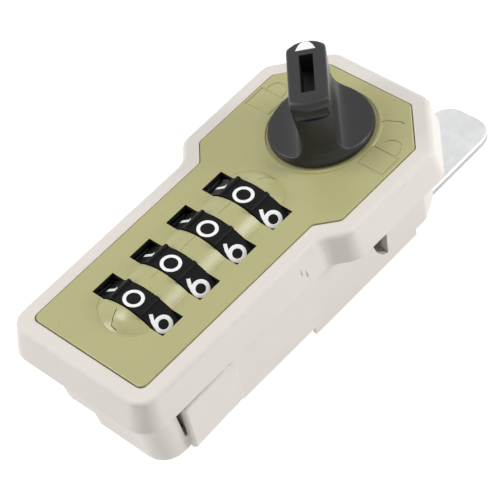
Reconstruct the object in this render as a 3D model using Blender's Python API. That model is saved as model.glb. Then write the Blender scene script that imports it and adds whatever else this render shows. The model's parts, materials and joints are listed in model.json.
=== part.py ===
"""Combination locker lock with four number dials, a quarter-turn knob and a rear cam.

Frame: +Z out of the lock's face, +Y along the lock towards the knob, +X across it.
The plane Z = 0 is the bezel's rear rim, which sits on the locker door. The origin is
on that rim, in the middle of the lower end. Lengths are metres.
"""

import math

import bmesh
import bpy
from mathutils import Matrix, Vector

MM = 0.001

# Running gap between pieces that touch
GAP = 0.3 * MM
# How far a cutter reaches past the material it cuts
OVER = 1.0 * MM

# Faceplate, measured from the middle of its lower edge
PLATE_LENGTH = 109.0 * MM
BODY_HALF = 20.2 * MM
HEAD_HALF = 25.7 * MM
TOP_HALF = 14.5 * MM
NECK_HEIGHT = 62.9 * MM
NECK_RISE = 5.5 * MM
SHOULDER_DROP = 11.6 * MM
PLATE_THICKNESS = 1.5 * MM
PLATE_PROUD = 0.3 * MM
PLATE_EDGE = 0.35 * MM
PLATE_RADII = (2.0 * MM, 1.5 * MM, 1.5 * MM, 1.2 * MM, 1.2 * MM)
PLATE_ARC_STEPS = (4, 2, 2, 3, 3)

# Bezel round the faceplate
RIM_WIDTH = 5.1 * MM
RIM_SEAT = 1.8 * MM
BEZEL_FLARE = 1.2 * MM
BEZEL_FOOT_FLARE = 0.9 * MM
BEZEL_DEPTH = 9.2 * MM
BEZEL_WALL = 2.4 * MM
BEZEL_EDGE = 1.7 * MM
BEZEL_RADII = (5.6 * MM, 5.0 * MM, 4.5 * MM, 4.0 * MM, 4.0 * MM)
SHELF_REACH = 3.0 * MM
SHELF_THICKNESS = 1.8 * MM

# Number dials
DIAL_COUNT = 4
DIGITS = 10
FIRST_DIAL = 18.6 * MM
DIAL_PITCH = 13.73 * MM
DIAL_WIDTH = 6.9 * MM
DIAL_RADIUS = 16.1 * MM
DIAL_RIB_WIDTH = 1.4 * MM
DIAL_RIB_HEIGHT = 0.45 * MM
AXLE_DEPTH = 13.5 * MM
AXLE_RADIUS = 2.0 * MM
SLOT_HALF = 13.0 * MM

# Barrel humps between the dials
HUMP_RADIUS = 16.05 * MM
DOME_REACH = 6.3 * MM

# Code sleeves inside the dials
SLEEVE_APOTHEM = 6.2 * MM
SLEEVE_NECK = 4.2 * MM
SLEEVE_LEAD = 4.0 * MM
GATE_RADIUS = 10.4 * MM
GATE_START = 5.8 * MM
GATE_THICKNESS = 1.2 * MM
GATE_DEPTH = 2.7 * MM

# Locking slide and the disc that drives it
SLIDE_THICKNESS = 2.2 * MM
SLIDE_HEIGHT = 6.0 * MM
SLIDE_DIAL_ROOM = 0.92 * MM
SLIDE_WALL_ROOM = 1.1 * MM
TOOTH_THICKNESS = 1.2 * MM
TOOTH_HEIGHT = 3.0 * MM
TOOTH_GAP = 0.4 * MM
SLIDE_TRAVEL = 3.4 * MM
SLIDE_TAIL = 10.3 * MM
ARM_WIDTH = 4.7 * MM
FOLLOWER_RADIUS = 1.2 * MM
TRACK_RADIUS = 10.0 * MM
DISC_RADIUS = 15.5 * MM
DISC_THICKNESS = 1.8 * MM
DISC_TOP = 0.4 * MM

# Rear housing, its outline measured from the plate's lower edge
CLIP_RECESS = 1.4 * MM
HOUSING_STEP = 22.9 * MM
HOUSING_FOOT = 4.4 * MM
HOUSING_NOTCH_X = 14.2 * MM
FOOT_STEP_X = -2.6 * MM
FOOT_STEP_ROOM = 5.0 * MM
FOOT_RECESS = 7.0 * MM
HOUSING_NOTCH_Y = 5.5 * MM
HOUSING_CORNER = 6.5 * MM
HOUSING_TOP_SETBACK = 1.0 * MM
HOUSING_CHAMFER_X = 5.0 * MM
HOUSING_CHAMFER_Y = 9.8 * MM
HOUSING_DEPTH = 19.5 * MM
HOUSING_DRAFT = 1.6 * MM
HOUSING_WALL = 2.2 * MM
SKIRT_DROP = 2.9 * MM
SKIRT_START = 52.5 * MM
SKIRT_END = 93.5 * MM
TOP_DROP = 0.7 * MM
LEDGE_WIDTH = 1.2 * MM
LEDGE_THICKNESS = 1.5 * MM
CHEEK_THICKNESS = 3.0 * MM
CHEEK_ROOM = 3.5 * MM
WINDOW_START = 77.0 * MM
WINDOW_WIDTH = 5.0 * MM
WINDOW_TOP = 4.0 * MM
WINDOW_SILL = 4.2 * MM

# Back cover with its bulge under the dials and its tower round the spindle
COVER_THICKNESS = 1.5 * MM
BULGE_HALF = 14.0 * MM
BULGE_SLOPE = 2.0 * MM
TOWER_RADIUS = 9.0 * MM
TOWER_BORE = 7.1 * MM
TOWER_TOP = 6.2 * MM

# Side clips that hold the lock in the door
CLIP_START = 6.0 * MM
DOOR_GAP = 2.0 * MM
CLIP_HOOK = 6.0 * MM
CLIP_HOOK_THICKNESS = 2.0 * MM
CLIP_HOOK_RISE = 7.1 * MM

# Knob
KNOB_HEIGHT_ALONG = 89.5 * MM
KNOB_ANGLE = 135.0
KNOB_RADIUS = 14.5 * MM
KNOB_TALL = 20.7 * MM
KNOB_LIFT = 0.4 * MM
KNOB_TIP_RADIUS = 12.1 * MM
KNOB_CHEEK = 5.4 * MM
KNOB_ROLL = 1.4 * MM
BAR_HALF = 5.3 * MM
BAR_WAIST = 4.6 * MM
NECK_RADIUS = 7.5 * MM
BEAD_RADIUS = 15.7 * MM
BEAD_HEIGHT = 0.35 * MM

# Master-key slot in the knob and the plunger under it
KEY_SLOT_HALF_LENGTH = 6.9 * MM
KEY_SLOT_HALF_WIDTH = 1.86 * MM
KEY_SLOT_DEPTH = 6.2 * MM
PLUNGER_HALF_LENGTH = 4.0 * MM
PLUNGER_FOOT_HALF_LENGTH = 5.0 * MM
PLUNGER_TRAVEL = 1.8 * MM
PLUNGER_SPRING_LENGTH = 7.6 * MM

# Spindle
SPINDLE_SQUARE = 8.0 * MM
SPINDLE_HEAD_TOP = 18.0 * MM
SPINDLE_RADIUS = 5.0 * MM
SHOULDER_RADIUS = 7.0 * MM
SHOULDER_THICKNESS = 1.5 * MM
BUSH_WALL = 1.5 * MM
CROSS_PIN_RADIUS = 1.25 * MM
CROSS_PIN_HEIGHT = 4.0 * MM

# Cam on the end of the spindle
CAM_TOP = 32.3 * MM
CAM_THICKNESS = 2.4 * MM
CAM_HALF = 9.7 * MM
CAM_REACH = 53.0 * MM
CAM_CORNER = 6.5 * MM
CAM_SEAT_ROOM = 2.0 * MM
CAM_SEAT_DEPTH = 0.3 * MM
CAM_SQUARE = 7.0 * MM
WASHER_RADIUS = 8.0 * MM
WASHER_THICKNESS = 1.2 * MM
SCREW_SHANK = 2.6 * MM
SCREW_HEAD_RADIUS = 5.8 * MM
SCREW_HEAD_HEIGHT = 4.0 * MM
CAM_SCREW_REACH = 9.0 * MM

# Small screws
BOSS_RADIUS = 2.6 * MM
SMALL_SHANK = 1.2 * MM
SMALL_HEAD = 2.2 * MM
SMALL_HEAD_HEIGHT = 1.4 * MM
GUSSET_THICKNESS = 3.7 * MM
CASE_SCREW_LENGTH = 8.0 * MM
COVER_SCREW_LENGTH = 8.0 * MM
POST_RADIUS = 2.4 * MM
POST_ROOM = 1.7 * MM

# Code-change button in the back cover
BUTTON_X = 6.0 * MM
BUTTON_Y = 4.0 * MM
BUTTON_RADIUS = 1.8 * MM
BUTTON_FLANGE = 3.2 * MM
BUTTON_PROUD = 2.8 * MM
BUTTON_TRAVEL = 2.0 * MM
BRIDGE_DEPTH = 8.5 * MM
BRIDGE_THICKNESS = 2.0 * MM

# Strip springs
STRIP = 0.5 * MM
DETENT_WALL_ROOM = 1.2 * MM
DETENT_LOW = 3.0 * MM
DETENT_HIGH = 4.5 * MM
CLICK_WALL_ROOM = 0.7 * MM

# Places worked out from the sizes above
PLATE_Y = RIM_WIDTH + BEZEL_FLARE - RIM_SEAT / 2
PLATE_Z = BEZEL_DEPTH + PLATE_PROUD
PLATE_UNDER = PLATE_Z - PLATE_THICKNESS
AXLE_Z = PLATE_Z - AXLE_DEPTH
KNOB_Y = PLATE_Y + KNOB_HEIGHT_ALONG
DIAL_Y = [PLATE_Y + FIRST_DIAL + i * DIAL_PITCH for i in range(DIAL_COUNT)]
FACE_CHORD = DIAL_RADIUS * math.tan(math.pi / DIGITS)
RIB_RADIUS = DIAL_RADIUS / math.cos(math.pi / DIGITS) + DIAL_RIB_HEIGHT
SLOT_WIDTH = DIAL_WIDTH + 2 * GAP
SLIDE_OFFSET = RIB_RADIUS + SLIDE_DIAL_ROOM
WALL_LOWER = SLIDE_OFFSET + SLIDE_THICKNESS + SLIDE_WALL_ROOM
HOUSING_LOWER_HALF = WALL_LOWER + HOUSING_WALL
HOUSING_HALF = HOUSING_LOWER_HALF + CLIP_RECESS
WALL_UPPER = HOUSING_HALF - HOUSING_WALL
HOUSING_TOP = PLATE_LENGTH - HOUSING_TOP_SETBACK
HOUSING_TOP_HALF = HOUSING_HALF - HOUSING_CHAMFER_X
HOUSING_SHOULDER = HOUSING_TOP - HOUSING_CHAMFER_Y
SKIRT_DEPTH = HOUSING_DEPTH + SKIRT_DROP
TOP_DEPTH = HOUSING_DEPTH + TOP_DROP
FOOT_STEP_DEPTH = HOUSING_DEPTH - FOOT_STEP_ROOM
CHEEK_DEPTH = HOUSING_DEPTH - CHEEK_ROOM
FOOT_INNER = HOUSING_WALL - HOUSING_FOOT
NOTCH_INNER = HOUSING_NOTCH_X - HOUSING_WALL
DETENT_X = DETENT_WALL_ROOM - WALL_LOWER
CLICK_X = CLICK_WALL_ROOM - WALL_UPPER
POST_HEIGHT = COVER_SCREW_LENGTH + POST_ROOM
SLEEVE_LENGTH = DIAL_PITCH - GAP
LOWER_CHEEK_TOP = DIAL_Y[0] - SLEEVE_LEAD - GAP
UPPER_CHEEK_BOTTOM = DIAL_Y[-1] - SLEEVE_LEAD + SLEEVE_LENGTH + GAP
TOOTH_START = GATE_START + GATE_THICKNESS + TOOTH_GAP
COVER_TOP = -(HOUSING_DEPTH - COVER_THICKNESS)
DISC_Z = -DISC_TOP - DISC_THICKNESS
SHOULDER_Z = DISC_Z - GAP
CASE_SCREW_PLACES = (
    (WALL_LOWER - 4.0 * MM, FOOT_INNER + 3.8 * MM),
    (3.2 * MM - NOTCH_INNER, FOOT_INNER + 3.8 * MM),
    (WALL_UPPER - 4.8 * MM, HOUSING_SHOULDER + 0.3 * MM),
    (4.8 * MM - WALL_UPPER, HOUSING_SHOULDER + 0.3 * MM),
)
COVER_SCREW_PLACES = (
    (WALL_LOWER - 3.0 * MM, FOOT_INNER + 10.2 * MM),
    (3.8 * MM - WALL_LOWER, HOUSING_NOTCH_Y + 6.1 * MM),
    (WALL_UPPER - 3.6 * MM, KNOB_HEIGHT_ALONG - 3.5 * MM),
    (3.6 * MM - WALL_UPPER, KNOB_HEIGHT_ALONG - 3.5 * MM),
)
TURNED_STEPS = 40
BORE_STEPS = 14


def clear_scene():
    for thing in list(bpy.data.objects):
        bpy.data.objects.remove(thing, do_unlink=True)


def material(name, colour, roughness, metallic=0.0):
    finish = bpy.data.materials.new(name)
    finish.use_nodes = True
    shader = finish.node_tree.nodes["Principled BSDF"]
    shader.inputs["Base Color"].default_value = (*colour, 1.0)
    shader.inputs["Roughness"].default_value = roughness
    shader.inputs["Metallic"].default_value = metallic
    return finish


def placed(name, mesh, finish=None):
    """Puts a closed bmesh into the scene as one object."""
    bmesh.ops.remove_doubles(mesh, verts=mesh.verts, dist=1e-7)
    bmesh.ops.recalc_face_normals(mesh, faces=mesh.faces)
    data = bpy.data.meshes.new(name)
    mesh.to_mesh(data)
    mesh.free()
    data.shade_smooth()
    data.set_sharp_from_angle(angle=math.radians(30))
    thing = bpy.data.objects.new(name, data)
    bpy.context.scene.collection.objects.link(thing)
    if finish:
        data.materials.append(finish)
    return thing


def boolean(target, tool, operation):
    tool.hide_render = True
    tool.display_type = "WIRE"
    step = target.modifiers.new(tool.name, "BOOLEAN")
    step.operation = operation
    step.solver = "EXACT"
    step.object = tool
    return target


def cut(target, *tools):
    for tool in tools:
        boolean(target, tool, "DIFFERENCE")
    return target


def join(target, *tools):
    for tool in tools:
        boolean(target, tool, "UNION")
    return target


def box(name, low, high, finish=None):
    mesh = bmesh.new()
    bmesh.ops.create_cube(mesh, size=1.0)
    size = [b - a for a, b in zip(low, high)]
    middle = [(a + b) / 2 for a, b in zip(low, high)]
    bmesh.ops.scale(mesh, vec=size, verts=mesh.verts)
    bmesh.ops.translate(mesh, vec=middle, verts=mesh.verts)
    return placed(name, mesh, finish)


def extruded(name, outline, start, end, axis="Z", finish=None):
    """Extrudes a flat outline from start to end along Z, or along Y with the outline in X and Z."""
    mesh = bmesh.new()
    if axis == "Z":
        points = [(u, v, start) for u, v in outline]
        way = (0, 0, end - start)
    elif axis == "Y":
        points = [(u, start, v) for u, v in outline]
        way = (0, end - start, 0)
    else:
        points = [(start, u, v) for u, v in outline]
        way = (end - start, 0, 0)
    face = mesh.faces.new([mesh.verts.new(point) for point in points])
    grown = bmesh.ops.extrude_face_region(mesh, geom=[face])
    moved = [item for item in grown["geom"] if isinstance(item, bmesh.types.BMVert)]
    bmesh.ops.translate(mesh, vec=way, verts=moved)
    return placed(name, mesh, finish)


def turned(name, profile, centre, steps=TURNED_STEPS, ring=False, finish=None):
    """Spins a profile of (radius, height) points about a vertical axis through centre."""
    mesh = bmesh.new()
    verts = [mesh.verts.new((radius, 0.0, height)) for radius, height in profile]
    pairs = list(zip(verts, verts[1:]))
    if ring:
        pairs.append((verts[-1], verts[0]))
    edges = [mesh.edges.new(pair) for pair in pairs]
    bmesh.ops.spin(
        mesh,
        geom=verts + edges,
        cent=(0, 0, 0),
        axis=(0, 0, 1),
        angle=2 * math.pi,
        steps=steps,
    )
    bmesh.ops.remove_doubles(mesh, verts=mesh.verts, dist=1e-7)
    bmesh.ops.translate(mesh, vec=(centre[0], centre[1], 0), verts=mesh.verts)
    return placed(name, mesh, finish)


def rod(name, centre, radius, low, high, steps=BORE_STEPS, axis="Z", finish=None):
    """A round bar from low to high along the axis through centre."""
    mesh = bmesh.new()
    bmesh.ops.create_cone(
        mesh,
        cap_ends=True,
        segments=steps,
        radius1=radius,
        radius2=radius,
        depth=high - low,
    )
    middle = (low + high) / 2
    if axis == "Z":
        turn = Matrix.Identity(4)
        place = (centre[0], centre[1], middle)
    elif axis == "Y":
        turn = Matrix.Rotation(math.radians(90), 4, "X")
        place = (centre[0], middle, centre[1])
    else:
        turn = Matrix.Rotation(math.radians(90), 4, "Y")
        place = (middle, centre[0], centre[1])
    bmesh.ops.transform(mesh, matrix=Matrix.Translation(place) @ turn, verts=mesh.verts)
    return placed(name, mesh, finish)


def mitred(corners, distance):
    """Moves each edge of an outline that runs anticlockwise outwards by distance."""
    grown = []
    for before, here, after in zip(corners[-1:] + corners, corners, corners[1:] + corners[:1]):
        into = (Vector(here) - Vector(before)).normalized()
        out = (Vector(after) - Vector(here)).normalized()
        first = Vector((into.y, -into.x))
        second = Vector((out.y, -out.x))
        shift = (first + second) * (distance / (1.0 + first.dot(second)))
        grown.append(tuple(Vector(here) + shift))
    return grown


def rounded(corners, radii, steps):
    """Replaces each corner by an arc of its own radius, cut into its own number of steps."""
    points = []
    for index, here in enumerate(corners):
        before = Vector(corners[index - 1])
        after = Vector(corners[(index + 1) % len(corners)])
        corner = Vector(here)
        into = (corner - before).normalized()
        out = (after - corner).normalized()
        turn = into.angle_signed(out)
        radius = radii[index]
        reach = radius * math.tan(abs(turn) / 2)
        side = 1.0 if turn < 0 else -1.0
        start = corner - into * reach
        centre = start + Vector((-into.y, into.x)) * radius * side
        arm = start - centre
        for step in range(steps[index] + 1):
            angle = -turn * step / steps[index]
            spun = Matrix.Rotation(angle, 2) @ arm
            points.append(tuple(centre + spun))
    return points


def skin(name, rings, closed, finish=None):
    """Joins rings of equal point counts, into a band when closed and a capped solid otherwise."""
    mesh = bmesh.new()
    loops = [[mesh.verts.new(point) for point in ring] for ring in rings]
    count = len(loops[0])
    pairs = list(zip(loops, loops[1:]))
    if closed:
        pairs.append((loops[-1], loops[0]))
    for low, high in pairs:
        for index in range(count):
            after = (index + 1) % count
            mesh.faces.new((low[index], low[after], high[after], high[index]))
    if not closed:
        mesh.faces.new(loops[0][::-1])
        mesh.faces.new(loops[-1])
    return placed(name, mesh, finish)


def plate_corners():
    """Corners of the faceplate, anticlockwise from the lower right."""
    neck = NECK_HEIGHT + NECK_RISE
    shoulder = PLATE_LENGTH - SHOULDER_DROP
    right = [
        (BODY_HALF, 0.0),
        (BODY_HALF, NECK_HEIGHT),
        (HEAD_HALF, neck),
        (HEAD_HALF, shoulder),
        (TOP_HALF, PLATE_LENGTH),
    ]
    left = [(-x, y) for x, y in reversed(right)]
    return [(x, y + PLATE_Y) for x, y in right + left]


def plate_ring(grow, height, radii, drop=0.0):
    """A ring of the plate's shape, grown outward. Its lower side can stand out further, by the drop."""
    both = list(radii) + list(reversed(radii))
    steps = list(PLATE_ARC_STEPS) + list(reversed(PLATE_ARC_STEPS))
    corners = [(x, y - drop if y < PLATE_Y else y) for x, y in mitred(plate_corners(), grow)]
    return [(x, y, height) for x, y in rounded(corners, both, steps)]


def housing_corners():
    """Corners of the housing at its front edge, anticlockwise from the lower right."""
    right = [
        (HOUSING_LOWER_HALF, -HOUSING_FOOT),
        (HOUSING_LOWER_HALF, HOUSING_STEP),
        (HOUSING_HALF, HOUSING_STEP),
        (HOUSING_HALF, HOUSING_SHOULDER),
        (HOUSING_TOP_HALF, HOUSING_TOP),
    ]
    left = [
        (-HOUSING_TOP_HALF, HOUSING_TOP),
        (-HOUSING_HALF, HOUSING_SHOULDER),
        (-HOUSING_HALF, HOUSING_STEP),
        (-HOUSING_LOWER_HALF, HOUSING_STEP),
        (-HOUSING_LOWER_HALF, HOUSING_NOTCH_Y),
        (-HOUSING_NOTCH_X, HOUSING_NOTCH_Y),
        (-HOUSING_NOTCH_X, -HOUSING_FOOT),
    ]
    return [(x, y + PLATE_Y) for x, y in right + left]


def housing_ring(grow, height):
    small = 0.4 * MM
    radii = [HOUSING_CORNER, small, small, 2.5 * MM, 2.5 * MM]
    radii += [2.5 * MM, 2.5 * MM, small, small, 1.0 * MM, small, 1.0 * MM]
    steps = [5, 1, 1, 2, 2, 2, 2, 1, 1, 2, 1, 2]
    return [(x, y, height) for x, y in rounded(mitred(housing_corners(), grow), radii, steps)]


def square(half, angle=KNOB_ANGLE):
    """A square outline turned with the knob, centred on the spindle."""
    reach = half * math.sqrt(2)
    turns = [math.radians(angle + 45 + 90 * k) for k in range(4)]
    return [(reach * math.cos(a), KNOB_Y + reach * math.sin(a)) for a in turns]


def ribbon(path, width):
    """A strip of even width along a path in the plane, as a closed outline."""
    left = []
    right = []
    for index, here in enumerate(path):
        before = Vector(path[max(index - 1, 0)])
        after = Vector(path[min(index + 1, len(path) - 1)])
        point = Vector(here)
        way = after - before
        normal = Vector((-way.y, way.x)).normalized()
        stretch = 1.0
        if 0 < index < len(path) - 1:
            first = (point - before).normalized()
            side = Vector((-first.y, first.x))
            stretch = 1.0 / max(side.dot(normal), 0.5)
        left.append(tuple(point + normal * width / 2 * stretch))
        right.append(tuple(point - normal * width / 2 * stretch))
    return left + right[::-1]


def coil(name, centre, radius, wire, low, high, turns, finish):
    """A compression spring standing along Z."""
    curve = bpy.data.curves.new(name, "CURVE")
    curve.dimensions = "3D"
    curve.bevel_depth = wire
    curve.bevel_resolution = 0
    curve.use_fill_caps = True
    per_turn = 8
    count = turns * per_turn + 1
    line = curve.splines.new("POLY")
    line.points.add(count - 1)
    for index, point in enumerate(line.points):
        share = index / (count - 1)
        angle = 2 * math.pi * turns * share
        height = low + wire + (high - low - 2 * wire) * share
        x = centre[0] + radius * math.cos(angle)
        y = centre[1] + radius * math.sin(angle)
        point.co = (x, y, height, 1.0)
    curve.materials.append(finish)
    spring = bpy.data.objects.new(name, curve)
    bpy.context.scene.collection.objects.link(spring)
    return spring


def bezel_ring(grow, height, drop=0.0):
    """A ring of the bezel's outside. Its corners keep their centres as it grows, and the neck's shrinks."""
    more = grow - RIM_WIDTH
    radii = [radius + more for radius in BEZEL_RADII]
    radii[1] = BEZEL_RADII[1] - more
    return plate_ring(grow, height, radii, drop)


def front_bezel(finish):
    ledge = PLATE_UNDER - GAP
    inner = PLATE_RADII
    rings = [bezel_ring(RIM_WIDTH + BEZEL_FLARE, 0.0, BEZEL_FOOT_FLARE)]
    for step in range(4):
        angle = math.radians(30 * step)
        grow = RIM_WIDTH - BEZEL_EDGE * (1 - math.cos(angle))
        height = BEZEL_DEPTH - BEZEL_EDGE * (1 - math.sin(angle))
        rings.append(bezel_ring(grow, height))
    rings += [
        plate_ring(GAP, BEZEL_DEPTH, inner),
        plate_ring(GAP, ledge, inner),
        plate_ring(-SHELF_REACH, ledge, inner),
        plate_ring(-SHELF_REACH, ledge - SHELF_THICKNESS, inner),
        plate_ring(RIM_WIDTH - BEZEL_WALL, ledge - SHELF_THICKNESS, inner),
        plate_ring(RIM_WIDTH + BEZEL_FLARE - RIM_SEAT, 0.0, inner),
    ]
    bezel = skin("front_bezel", rings, True, finish)
    for index, (x, y) in enumerate(CASE_SCREW_PLACES):
        place = (x, y + PLATE_Y)
        boss = rod(f"bezel_boss_{index}", place, BOSS_RADIUS, 0.0, ledge - 0.2 * MM)
        hole = rod(f"bezel_hole_{index}", place, SMALL_SHANK + GAP, -OVER, ledge - OVER)
        join(bezel, boss)
        cut(bezel, hole)
    return bezel


def hump():
    """The barrel over the dials with a dome at each end, as one tool."""
    low = DIAL_Y[0] - SLOT_WIDTH / 2
    high = DIAL_Y[-1] + SLOT_WIDTH / 2
    squeeze = math.sqrt(HUMP_RADIUS**2 - AXLE_DEPTH**2) / DOME_REACH
    half = math.asin(math.sqrt(HUMP_RADIUS**2 - AXLE_DEPTH**2) / HUMP_RADIUS) + 0.03
    across = 12
    along = 5
    foot = PLATE_UNDER + PLATE_THICKNESS / 2
    rows = []
    shares = [math.sin(math.pi / 2 * k / along) for k in range(along + 1)]
    stations = [low - DOME_REACH * share for share in reversed(shares)]
    stations += [high + DOME_REACH * share for share in shares]
    for y in stations:
        past = max(low - y, y - high, 0.0) * squeeze
        radius = math.sqrt(max(HUMP_RADIUS**2 - past**2, AXLE_DEPTH**2))
        row = []
        for step in range(across + 1):
            angle = half * (2 * step / across - 1)
            x = radius * math.sin(angle)
            height = max(AXLE_Z + radius * math.cos(angle), foot)
            row.append((x, y, height))
        rows.append(row)
    mesh = bmesh.new()
    grid = [[mesh.verts.new(point) for point in row] for row in rows]
    under = [[mesh.verts.new((x, y, foot - OVER / 2)) for x, y, _ in row] for row in rows]
    for sheet in (grid, under):
        for first, second in zip(sheet, sheet[1:]):
            for index in range(across):
                mesh.faces.new((first[index], first[index + 1], second[index + 1], second[index]))
    for side in (0, across):
        for index in range(len(rows) - 1):
            top = (grid[index][side], grid[index + 1][side])
            mesh.faces.new((*top, under[index + 1][side], under[index][side]))
    for end in (0, len(rows) - 1):
        for index in range(across):
            top = (grid[end][index], grid[end][index + 1])
            mesh.faces.new((*top, under[end][index + 1], under[end][index]))
    return placed("hump_tool", mesh)


def engraving_lines():
    """Paths of the padlock signs and the open mark, on the plate."""
    across = 4.2 * MM
    tall = 6.6 * MM
    shackle = 2.9 * MM
    neck = 1.4 * MM
    foot = PLATE_Y + 85.6 * MM
    lines = []
    for middle, open_sign in ((-20.4 * MM, False), (20.4 * MM, True)):
        low, high = foot, foot + tall
        left, right = middle - across, middle + across
        lines.append([(left, high), (left, low), (right, low), (right, high), (left, high)])
        rise = neck + (0.3 * MM if open_sign else 0.0)
        arc = []
        for step in range(9):
            angle = math.pi * (1 - step / 8)
            arc.append((middle + shackle * math.cos(angle), high + rise + shackle * math.sin(angle)))
        start = (middle - shackle, high + (1.6 * MM if open_sign else 0.4 * MM))
        end = (middle + shackle, high + 0.4 * MM)
        lines.append([start, *arc, end])
    turn = math.radians(KNOB_ANGLE - 90 - 3)
    inner, outer = BEAD_RADIUS + 1.0 * MM, BEAD_RADIUS + 6.0 * MM
    for way in (1, -1):
        near = (way * inner * math.cos(turn), KNOB_Y + inner * math.sin(turn))
        swung = turn - math.radians(4)
        far = (way * outer * math.cos(swung), KNOB_Y + outer * math.sin(swung))
        lines.append([near, far])
    return lines


def faceplate(finish):
    rings = [
        plate_ring(0.0, PLATE_UNDER, PLATE_RADII),
        plate_ring(0.0, PLATE_Z - PLATE_EDGE, PLATE_RADII),
        plate_ring(-PLATE_EDGE * 0.3, PLATE_Z - PLATE_EDGE * 0.3, PLATE_RADII),
        plate_ring(-PLATE_EDGE, PLATE_Z, PLATE_RADII),
    ]
    plate = skin("faceplate", rings, False, finish)
    join(plate, hump())
    inside = HUMP_RADIUS - PLATE_THICKNESS
    low = DIAL_Y[0] - SLOT_WIDTH / 2
    high = DIAL_Y[-1] + SLOT_WIDTH / 2
    cut(plate, rod("hump_hollow", (0.0, AXLE_Z), inside, low, high, 44, "Y"))
    for index, y in enumerate(DIAL_Y):
        lower = (-SLOT_HALF, y - SLOT_WIDTH / 2, PLATE_UNDER - OVER)
        upper = (SLOT_HALF, y + SLOT_WIDTH / 2, PLATE_Z + HUMP_RADIUS)
        cut(plate, box(f"dial_slot_{index}", lower, upper))
    bead = [
        (BEAD_RADIUS - 0.6 * MM, PLATE_Z - 0.2 * MM),
        (BEAD_RADIUS + 0.6 * MM, PLATE_Z - 0.2 * MM),
        (BEAD_RADIUS + 0.3 * MM, PLATE_Z + BEAD_HEIGHT),
        (BEAD_RADIUS - 0.3 * MM, PLATE_Z + BEAD_HEIGHT),
    ]
    join(plate, turned("bead_tool", bead, (0.0, KNOB_Y), ring=True))
    hole = NECK_RADIUS + GAP
    cut(plate, rod("neck_hole", (0.0, KNOB_Y), hole, PLATE_UNDER - OVER, PLATE_Z + OVER, 36))
    for index, path in enumerate(engraving_lines()):
        width = 0.5 * MM
        deep = 0.25 * MM
        shape = path
        if path[0] == path[-1]:
            outer = extruded(f"sign_{index}", mitred(path[:-1], width / 2), PLATE_Z - deep, PLATE_Z + OVER)
            core = extruded(
                f"sign_core_{index}", mitred(path[:-1], -width / 2), PLATE_Z - OVER, PLATE_Z + 2 * OVER
            )
            cut(outer, core)
        else:
            outer = extruded(f"sign_{index}", ribbon(shape, width), PLATE_Z - deep, PLATE_Z + OVER)
        cut(plate, outer)
    for index, middle in enumerate((LOWER_CHEEK_TOP, UPPER_CHEEK_BOTTOM + CHEEK_THICKNESS)):
        centre = middle - CHEEK_THICKNESS / 2
        lower = (-AXLE_RADIUS * 0.8, centre - 1.0 * MM, AXLE_Z + AXLE_RADIUS + GAP)
        upper = (AXLE_RADIUS * 0.8, centre + 1.0 * MM, PLATE_UNDER + PLATE_THICKNESS / 2)
        join(plate, box(f"axle_post_{index}", lower, upper))
    return plate


def dial_outline():
    """The ten flats of a dial with a rib on each edge between them."""
    points = []
    flat = FACE_CHORD - DIAL_RIB_WIDTH / 2
    for digit in range(DIGITS):
        turn = 2 * math.pi * digit / DIGITS
        rib = turn + math.pi / DIGITS
        for along in (-flat, flat):
            reach = math.hypot(DIAL_RADIUS, along)
            angle = turn + math.atan2(along, DIAL_RADIUS)
            points.append((reach, angle))
        half = math.atan2(DIAL_RIB_WIDTH / 2, RIB_RADIUS) * 0.9
        points += [(RIB_RADIUS - 0.12 * MM, rib - half), (RIB_RADIUS, rib)]
        points.append((RIB_RADIUS - 0.12 * MM, rib + half))
    return [(r * math.sin(a), AXLE_Z + r * math.cos(a)) for r, a in points]


def decagon(apothem):
    reach = apothem / math.cos(math.pi / DIGITS)
    turns = [2 * math.pi * (k + 0.5) / DIGITS for k in range(DIGITS)]
    return [(reach * math.sin(a), AXLE_Z + reach * math.cos(a)) for a in turns]


def dial(index, finish):
    middle = DIAL_Y[index]
    low, high = middle - DIAL_WIDTH / 2, middle + DIAL_WIDTH / 2
    wheel = extruded(f"dial_wheel_{index + 1}", dial_outline(), low, high, "Y", finish)
    bore = extruded(f"dial_bore_{index}", decagon(SLEEVE_APOTHEM + GAP), low - OVER, high + OVER, "Y")
    return cut(wheel, bore)


def code_sleeve(index, finish):
    start = DIAL_Y[index] - SLEEVE_LEAD
    hub_end = DIAL_Y[index] + DIAL_WIDTH / 2 + GAP
    end = start + SLEEVE_LENGTH
    gate = DIAL_Y[index] + GATE_START
    name = f"code_sleeve_{index + 1}"
    sleeve = extruded(name, decagon(SLEEVE_APOTHEM), start, hub_end, "Y", finish)
    neck = rod(f"{name}_neck", (0.0, AXLE_Z), SLEEVE_NECK, hub_end - OVER, end, 16, "Y")
    disc = rod(f"{name}_gate", (0.0, AXLE_Z), GATE_RADIUS, gate, gate + GATE_THICKNESS, 24, "Y")
    half = TOOTH_HEIGHT / 2 + GAP
    low = (GATE_RADIUS - GATE_DEPTH, gate - OVER / 2, AXLE_Z - half)
    high = (GATE_RADIUS + OVER, gate + GATE_THICKNESS + OVER / 2, AXLE_Z + half)
    notch = box(f"{name}_notch", low, high)
    bore = rod(f"{name}_bore", (0.0, AXLE_Z), AXLE_RADIUS + GAP, start - OVER, end + OVER, 14, "Y")
    join(sleeve, neck, disc)
    return cut(sleeve, notch, bore)


def dial_axle(finish):
    low = LOWER_CHEEK_TOP - CHEEK_THICKNESS
    high = UPPER_CHEEK_BOTTOM + CHEEK_THICKNESS
    return rod("dial_axle", (0.0, AXLE_Z), AXLE_RADIUS, low, high, 20, "Y", finish)


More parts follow.
